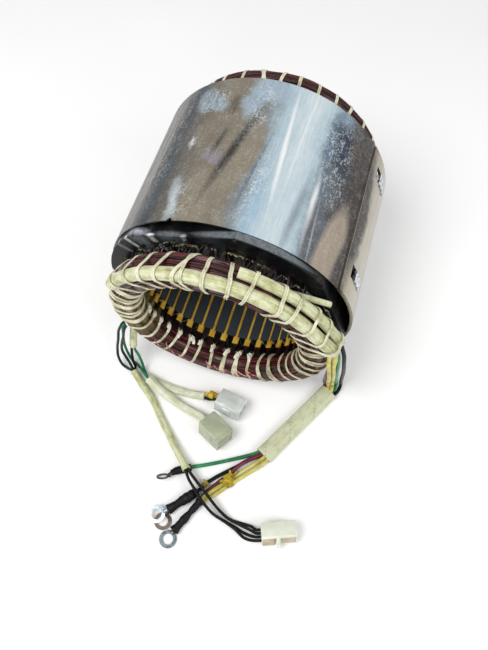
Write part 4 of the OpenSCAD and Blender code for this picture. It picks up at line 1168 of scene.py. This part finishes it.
def ring_outline(grow):
    """A winding ring's section about its middle, as (out from the axis, towards the lead end)."""
    outline, round_r = [], RING_ROUND + grow
    for quarter, (sx, sy) in enumerate(((1, 1), (-1, 1), (-1, -1), (1, -1))):
        for k in range(9):
            turn = math.pi / 2 * (quarter + k / 8)
            outline.append((sx * (RING_THICK / 2 - RING_ROUND) + round_r * math.cos(turn),
                            sy * (RING_LEN / 2 - RING_ROUND) + round_r * math.sin(turn)))
    return outline


def on_ring(y, p, angle):
    """A point of a ring's section, at an angle round the axis."""
    return around_axis(RING_R + p.x, y - p.y, angle)


def loop_on_ring(shape, y, stations, section, tone):
    """Sweeps a closed loop round or along a ring; stations are points of its section, outward ways and angles."""
    shape.sweep([on_ring(y, p, angle) for p, out, angle in stations], section,
                [around_axis(out.x, -out.y, angle) for p, out, angle in stations], closed=True, tone=tone)


def wound_ring(name, y, node, material, strands, stations, sides, seed):
    """An end winding: a lumpy bundle under many single turns of wire that wander over one another."""
    rng, shape = random.Random(seed), Shape()
    skin, body = even_outline(ring_outline(-0.9), 48), []
    for angle in range(0, 360, 3):
        lumps = [0.7 * wobble(seed, around_axis(RING_R + p.x, p.y, angle), 9) for p, out in skin]
        body.append([on_ring(y, p + out * lump, angle) for (p, out), lump in zip(skin, lumps)])
    # The bundle takes the darkest tone, painted shade under the turns that lie over it.
    shape.loft(body, closed=True, tone=0.15)
    places = 240
    fine = even_outline(ring_outline(-0.55), places)
    for n in range(strands):
        start = places * (n + rng.uniform(-0.3, 0.3)) / strands
        waves = [(rng.uniform(3, 12) / k, k, rng.uniform(0, 6.3)) for k in (1, 2, 4, 7, 11)]
        lift, high = rng.uniform(0, 6.3), rng.uniform(0.15, 0.5)
        r_wire = rng.uniform(0.42, 0.58)
        route = []
        for turn in (TURN * i / stations for i in range(stations)):
            at = start + sum(size * math.sin(k * turn + phase) for size, k, phase in waves)
            (p, out), (q, _) = (fine[(round(at) + step) % places] for step in (0, 1))
            p = p + (q - p) * max(at - round(at), 0) + out * (high * math.sin(7 * turn + lift) + 0.15)
            route.append((p, out, math.degrees(turn)))
        loop_on_ring(shape, y, route, oval(r_wire, r_wire, sides), rng.uniform(0.2, 1))
    return shape.become(name, material, node, "enamelled_wire")


def seat_outline(seat, y, angle):
    """A tied sleeve's outline in a ring's section at an angle; it is skewed where its tail lifts off."""
    if not seat["turn"] - 20 < angle < seat["far"] + 1:
        return []
    skew = math.cos(math.radians(max(0, seat["turn"] - angle)))
    return circle(seat["r"] / skew - RING_R, y - seat["y"], seat["tube"] / skew + 0.3, 28)


def lace_ring(name, y, node, material, seed, seats=(), knotted=()):
    """Tape loops round a ring, drawn tight over the sleeves tied to it, with knots on some of them."""
    rng, shape = random.Random(seed), Shape()
    for k, lace_angle in enumerate(LACE_ANGLES):
        angle = lace_angle + rng.uniform(-1.3, 1.3)
        edge = ring_outline(0.35) + [p for seat in seats for p in seat_outline(seat, y, angle)]
        outline = even_outline(hull(edge), 60)
        # The loops low on the right are painted darker and duller, as painted shade.
        tone = 0.3 if angle % 360 > 285 or angle % 360 < 12 else 0.5
        strands = 2 if angle % 360 < 25 or 150 < angle % 360 < 200 or rng.random() < 0.2 else 1
        for n in range(strands):
            lean = rng.uniform(-2.2, 2.2) + n * rng.choice((-4.5, 4.5))
            wide = rng.uniform(2.2, 2.8)
            route = []
            for p, out in outline:
                turn = angle + lean * p.y / RING_LEN + 0.5 * wobble(seed + k, (p.x, p.y, k), 9)
                q = p + out * (0.1 + 0.35 * n + 0.18 * wobble(seed, (p.x, p.y, k * 4), 4))
                route.append((q, out, turn))
            loop_on_ring(shape, y, route, tape_section(wide, 0.85), tone)
    for k in knotted:
        tie_knot(shape, LACE_ANGLES[k] + rng.uniform(-1.5, 1.5), y, rng)
    return shape.become(name, material, node, "lacing")


def tie_knot(shape, angle, y, rng):
    """A small knot at a loop's inner edge, by the core, with a short end laid forward over the ring."""
    out, reach = Vector((-0.95, -0.31)), RING_ROUND + 1.3
    corner = Vector((-RING_THICK / 2 + RING_ROUND, RING_ROUND - RING_LEN / 2)) + out * reach

    def place(a, b, c):
        """A point from the knot's middle: a round the axis, b towards the core, c off the ring's rounded skin."""
        p = corner + Vector((-out.y, out.x)) * b + out * (c - b * b / (2 * reach))
        return on_ring(y, p, angle + math.degrees(a / RING_R))

    knot(shape, place, 0.62, 0.7, oval(0.95, 0.7, 8), 1.0)
    way, long = rng.uniform(-1, 1), rng.uniform(3, 6)
    tail = [place(0.5 * way, 0.5, 0.4), place(1.4 * way, -1.2, 0.7), place(2.6 * way, -long * 0.6, 0.5),
            place(3.2 * way, -long, -0.2)]
    shape.sweep(smooth_route(tail, 0.7), tape_section(2.4, 0.6), tone=1.0)
    horn = [place(0, 0.2, 0.2), place(-0.4 * way, 1.6, 0.7), place(-1.2 * way, 3.2, 0.6)]
    shape.sweep(smooth_route(horn, 0.6), lambda share, along: oval(1.1 - 0.7 * share, 0.5, 8), tone=1.0)


def tied_sleeve(name, seat, material, seed):
    """A braided sleeve tied along the ring: it swells between the loops, then its tail lifts straight off."""
    r, y, turn, far = seat["r"], seat["y"], seat["turn"], seat["far"]
    way = around_axis(1, 0, turn - 90)
    tail = [around_axis(r, y, turn) + way * (seat["tail"] * (1 - n / 26)) for n in range(26)]
    steps = int((far - turn) / 0.8)
    route = tail + [around_axis(r, y, turn + (far - turn) * n / steps) for n in range(steps + 1)]

    def section(share, along):
        angle = turn + math.degrees((along - seat["tail"]) / r)
        swell = 0.5 - 0.5 * math.cos(math.radians((angle - LACE_ANGLES[0]) * 36))
        grow = seat["tube"] * (0.93 + 0.035 * swell + 0.03 * wobble(seed, along, 8)) + 0.25 * math.exp(-along / 0.8)
        folds = [1 - 0.05 * (1 + wobble(seed + 4, (along / 3, k * 2.2, 0), 5)) for k in range(28)]
        return [(a * fold, b * fold) for (a, b), fold in zip(oval(grow, grow, 28), folds)]

    shape = Shape().sweep(route, section, [Vector((p.x, 0, p.z)) for p in route])
    return shape.become(name + "_tied_sleeve", material, name + "_ring_sleeve", "sleeving")


def stub_sleeve(name, path, radius, material, seed):
    """A short sleeve that comes out from under the lacing, pinched where it is tied and open at its end."""
    shape = Shape().sweep(floor_route(path, 0.8), lambda share, along: oval(
        radius * (0.9 + 0.1 * math.sin(1.5 * share)) * (1 + 0.05 * wobble(seed, along, 3)),
        radius * (0.82 + 0.1 * share), 18))
    return shape.become(name, material, name + "_stub", "sleeving")


def loose_ends(material):
    """Single turns of wire that stand off the lower part of the lead end's ring."""
    rng, shape = random.Random(5), Shape()
    for angle in (222, 229, 236, 243, 262, 270, 274, 281, 288, 296):
        inner, span = rng.uniform(-9, -3), rng.uniform(5, 10)
        route = []
        for t in shares(8):
            across = inner + 5 * t + rng.uniform(-0.3, 0.3)
            rise = 1.1 * math.sin(math.pi * t) + 0.2 - max(0, -across - 4) * 0.45
            route.append(around_axis(RING_R + across, LEAD_RING_Y - RING_LEN / 2 - rise, angle + span * (t - 0.5)))
        shape.sweep(smooth_route(route, 0.9), oval(0.42, 0.42, 7))
    return shape.become("loose_wire_turns", material, slot="enamelled_wire")


def slot_cuffs(material):
    """The slot papers' turned ends, which flare round each wedge where it leaves the core at both ends."""
    shape, flare = Shape(), flowing((0, 2.6), (1, 5.2))
    for y, way in ((FRONT_Y, -1), (REAR_Y, 1)):
        for angle in SLOT_ANGLES:
            route = [around_axis(CUFF_R - 0.25 * t, y + way * (6.4 * t - 0.2), angle) for t in shares(8)]
            shape.sweep(route, lambda share, along: oval(flare(share) / 2, 0.42, 14, 3.4),
                        [around_axis(-1, 0, angle)] * len(route))
    return shape.become("slot_cuffs", material, slot="wedge")


def slot_ribs(material):
    """The wedges' crowned faces, pressed into the mouths of the slots from end to end of the core."""
    shape = Shape()
    for k, angle in enumerate(SLOT_ANGLES):
        route = [around_axis(WEDGE_R, FRONT_Y - 1.5 + (REAR_Y - FRONT_Y + 3) * m / 14, angle) for m in range(15)]
        shape.sweep(route, lambda share, along: oval(
            1.2 + 0.04 * wobble(k, along, 20), 0.6 + 0.08 * wobble(k + 40, along, 12), 10, 2.6),
            [around_axis(-1, 0, angle)] * len(route))
    return shape.become("slot_ribs", material, slot="wedge")


def coil_legs(name, y_ring, y_core, seed, material):
    """Turns of wire that leave each slot of the core, spread, and dive into the ring."""
    rng, shape = random.Random(seed), Shape()
    way = math.copysign(1, y_ring - y_core)
    inner_face = y_ring - way * RING_LEN / 2
    for middle in SLOT_ANGLES:
        for radius in LEG_RADII:
            bulge = 1.6 if radius == LEG_RADII[-1] else 0
            for side in (-1, -0.5, 0, 0.5, 1):
                a = middle + side * math.degrees((2.4 + radius * 0.006) / radius)
                b = a + rng.uniform(-1.6, 1.6) + side
                r0, r1 = radius + rng.uniform(-1.2, 1.2), min(max(radius + rng.uniform(-2.5, 1.8), 66.5), LEG_RADII[-1])
                route = [around_axis(r0, y_core - way * 1.2, a), around_axis(r0, y_core + way * 1.8, a),
                         around_axis(r1 + bulge, inner_face - way * 1.5, b),
                         around_axis(r1, inner_face + way * 3, b + rng.uniform(-2, 2))]
                # A tone below the ramp paints the legs near black: painted shade of the gap between the ring and the
                # core.
                shape.sweep(smooth_route(route, 2.2), oval(0.5, 0.5, 5), tone=rng.uniform(-0.6, 0.1))
    return shape.become(name, material, slot="enamelled_wire")


def phase_papers(material):
    """Crumpled paper between the coils, whose torn edges show in the gap between the ring and the core."""
    rng, shape = random.Random(12), Shape()
    for k in range(20):
        angle = LACE_ANGLES[0] + 18 * k + rng.uniform(-5, 5)
        wide, tall, base = rng.uniform(6, 13), rng.uniform(1.0, 2.6), rng.uniform(*PAPER_R)
        top_y = FRONT_Y - rng.uniform(3.5, 6.5)
        rings = []
        for t in shares(10):
            a = angle + math.degrees(wide * (t - 0.5) / base)
            curl, torn = rng.uniform(-0.9, 0.9), rng.uniform(0.3, 1.1)
            high = base + tall * torn * math.sin(math.pi * (0.08 + 0.84 * t))
            rings.append([around_axis(r, top_y + back, a) for r, back in (
                (base - 1.5, 2.6 + 0.2 * curl), (base - 1.5, 3), (high, curl + 0.4), (high, curl))])
        shape.loft(rings)
    return shape.become("phase_papers", material, slot="paper")


# ---------- the whole scene ----------

# Each insulation's shades, from dark to light, the size of its unevenness and its gloss.
PLASTICS = {
    "green": ("#1b5c38", "#2a7d4e", "#48a06a", 12, 0.3), "black": ("#020304", "#08090c", "#181a20", 12, 0.15),
    "red": ("#3f1020", "#611a30", "#833246", 12, 0.3), "yellow": ("#948b38", "#bfb558", "#d9d283", 12, 0.3),
    "teal": ("#04100f", "#0a2722", "#144538", 12, 0.2), "bottle_green": ("#0c3f28", "#17704a", "#2c9463", 12, 0.3),
    "brown_black": ("#060505", "#121010", "#2a2523", 12, 0.15),
    "bright_yellow": ("#9c7c0c", "#cdaa1c", "#ead158", 4, 0.3),
}


def main():
    bpy.context.scene.view_settings.view_transform = "Standard"
    make_camera()
    light_studio()
    lay_floor()

    nodes = frame["nodes"]
    plastics = {name: extruded_insulation(name + "_insulation", *look) for name, look in PLASTICS.items()}
    wire = enamelled_wire()
    # Polyester lacing, cream where clean and grey-tan where varnish soaked in.
    lacing = fabric_tape("lacing_tape", [(0.3, "#8f8a68"), (0.42, "#bdb994"), (0.54, "#dcd9bb"), (0.7, "#f0eddb")], 0.9)
    sleeving = braided_sleeving("braided_sleeving", [
        (0.33, "#857f4e"), (0.42, "#aead7c"), (0.5, "#c9cb9f"), (0.57, "#dcdec2"), (0.63, "#c3c491"), (0.7, "#dccfb4")])
    pale_sleeving = braided_sleeving("pale_braided_sleeving", [
        (0.34, "#b2b48e"), (0.43, "#cdd0ae"), (0.51, "#dcdfc4"), (0.6, "#eaecd9"), (0.7, "#d5d8bb")])
    wide = make_wide_sleeve(braided_sleeving("wide_braided_sleeving", [
        (0.36, "#b0b38f"), (0.45, "#c1c5a1"), (0.53, "#cfd2b2"), (0.68, "#c4c8a4")], tracer=True, folds=2))
    tube = shrunk_tube()
    green_tube, black_tube, yellow_tube = (make_shrink(name, tube) for name in SHRINKS)
    yellow_tie = make_yellow_tie(fabric_tape("yellow_tie_tape", [
        (0.36, "#6f5e0a"), (0.5, "#ad9312"), (0.66, "#d8c22c")], 0.8))
    small_tie = make_small_tie(fabric_tape("olive_tie_tape", [
        (0.35, "#6b5c16"), (0.55, "#9f8b2a"), (0.7, "#c2ad48")], 0.8))
    make_leads(MAIN_LEADS, LEAD_R, plastics, {
        "green_lead": [green_tube, nodes["green_eye"]],
        "black_lead": [wide, small_tie, black_tube, nodes["black_upper_eye"], nodes["black_lower_eye"]],
        "red_lead": [yellow_tie],
        "yellow_lead_a": [yellow_tube, nodes["yellow_eye"]]})
    make_leads(SIGNAL_LEADS, THIN_R, plastics, {})
    # The shaded nylon is painted shade for the four-way housing's recess.
    housing = make_four_way(moulded_nylon("natural_nylon", "#d6d9c8", "#dfe2d2", "#e8ebde"),
                            moulded_nylon("shaded_nylon", "#8f8263", "#ac9f80", "#c2b79b"))
    make_leads(THIN_LEADS, THIN_R, plastics, {"thin_lead_a": housing})
    upper = make_pair_housing("upper", moulded_nylon("clear_cast_nylon", "#c2c8c3", "#d3d8d4", "#e8eceb"),
                              "nylon_natural", 8, False)
    lower = make_pair_housing("lower", moulded_nylon("grey_green_nylon", "#a6ad93", "#b1b79d", "#bdc3aa"),
                              "nylon_green", 9, True)
    pigtails = [make_pigtail(name, plastics) for name in PIGTAILS]
    make_sleeve("long_sleeve", LONG_SLEEVE, 3.5, 0.85, sleeving, 0.103, "bare", (), 31)
    make_sleeve("upper_sleeve", UPPER_SLEEVE, 4.0, 0.85, pale_sleeving, 0.055, "connector", [*pigtails, upper], 32)
    make_sleeve("lower_sleeve", LOWER_SLEEVE, 4.0, 0.94, pale_sleeving, 0.066, "connector", [lower], 33)

    wound_ring("lead_end_coils", LEAD_RING_Y, "lead_end_winding", wire, 92, 150, 6, 41)
    wound_ring("rear_end_coils", REAR_RING_Y, "rear_end_winding", wire, 80, 120, 5, 42)
    lace_ring("lead_end_loops", LEAD_RING_Y, "lead_end_lacing", lacing, 51, (MAIN_SEAT, OUTER_SEAT), range(18, 29))
    lace_ring("rear_end_loops", REAR_RING_Y, "rear_end_lacing", lacing, 52)
    tied_sleeve("main", MAIN_SEAT, sleeving, 61)
    tied_sleeve("outer", OUTER_SEAT, sleeving, 62)
    stub_sleeve("side_sleeve", SIDE_STUB, 3.3, sleeving, 63)
    stub_sleeve("face_sleeve", FACE_STUB, 2.2, sleeving, 64)
    loose_ends(loose_wire())
    wedge = fibre_wedge()
    slot_cuffs(wedge)
    slot_ribs(wedge)
    coil_legs("lead_end_legs", LEAD_RING_Y, FRONT_Y, 71, wire)
    coil_legs("rear_end_legs", REAR_RING_Y, REAR_Y, 72, wire)
    phase_papers(insulating_paper("torn_paper", [
        (0.38, "#24241a"), (0.5, "#55563c"), (0.58, "#8b8f6a"), (0.66, "#b9c0b4"), (0.75, "#4a4a38")]))

    # The CAD nodes that stay take their finishes.
    bronze = stamped_copper("heat_stained_copper", "#544b43", "#292320")
    finishes = {
        "shroud": bright_rolled_sheet(), "seam_hooks": bent_tab(), "stator_core": varnished_laminations(),
        "core_welds": weld_bead(), "slot_wedges": wedge, "slot_windings": wire,
        "slot_liners": insulating_paper("slot_paper", [
            (0.35, "#4d4a3c"), (0.5, "#8e8f80"), (0.62, "#c9c7ae"), (0.75, "#77705a")]),
        "black_upper_eye": stamped_copper("tinned_copper", "#aeb8be", "#6b757b"), "black_lower_eye": bronze,
        # The yellow eye is the same tin in darker shades: painted shade.
        "yellow_eye": stamped_copper("shaded_tin", "#575f61", "#2f3537"), "green_eye": bronze,
    }
    for node, material in finishes.items():
        for slot in nodes[node].material_slots:
            slot.material = material


main()
low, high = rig.bounds()
with open("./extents.json", "w") as size_file:
    json.dump({"cad": [list(cad_low), list(cad_high)], "visual": [list(low), list(high)]}, size_file, indent=1)
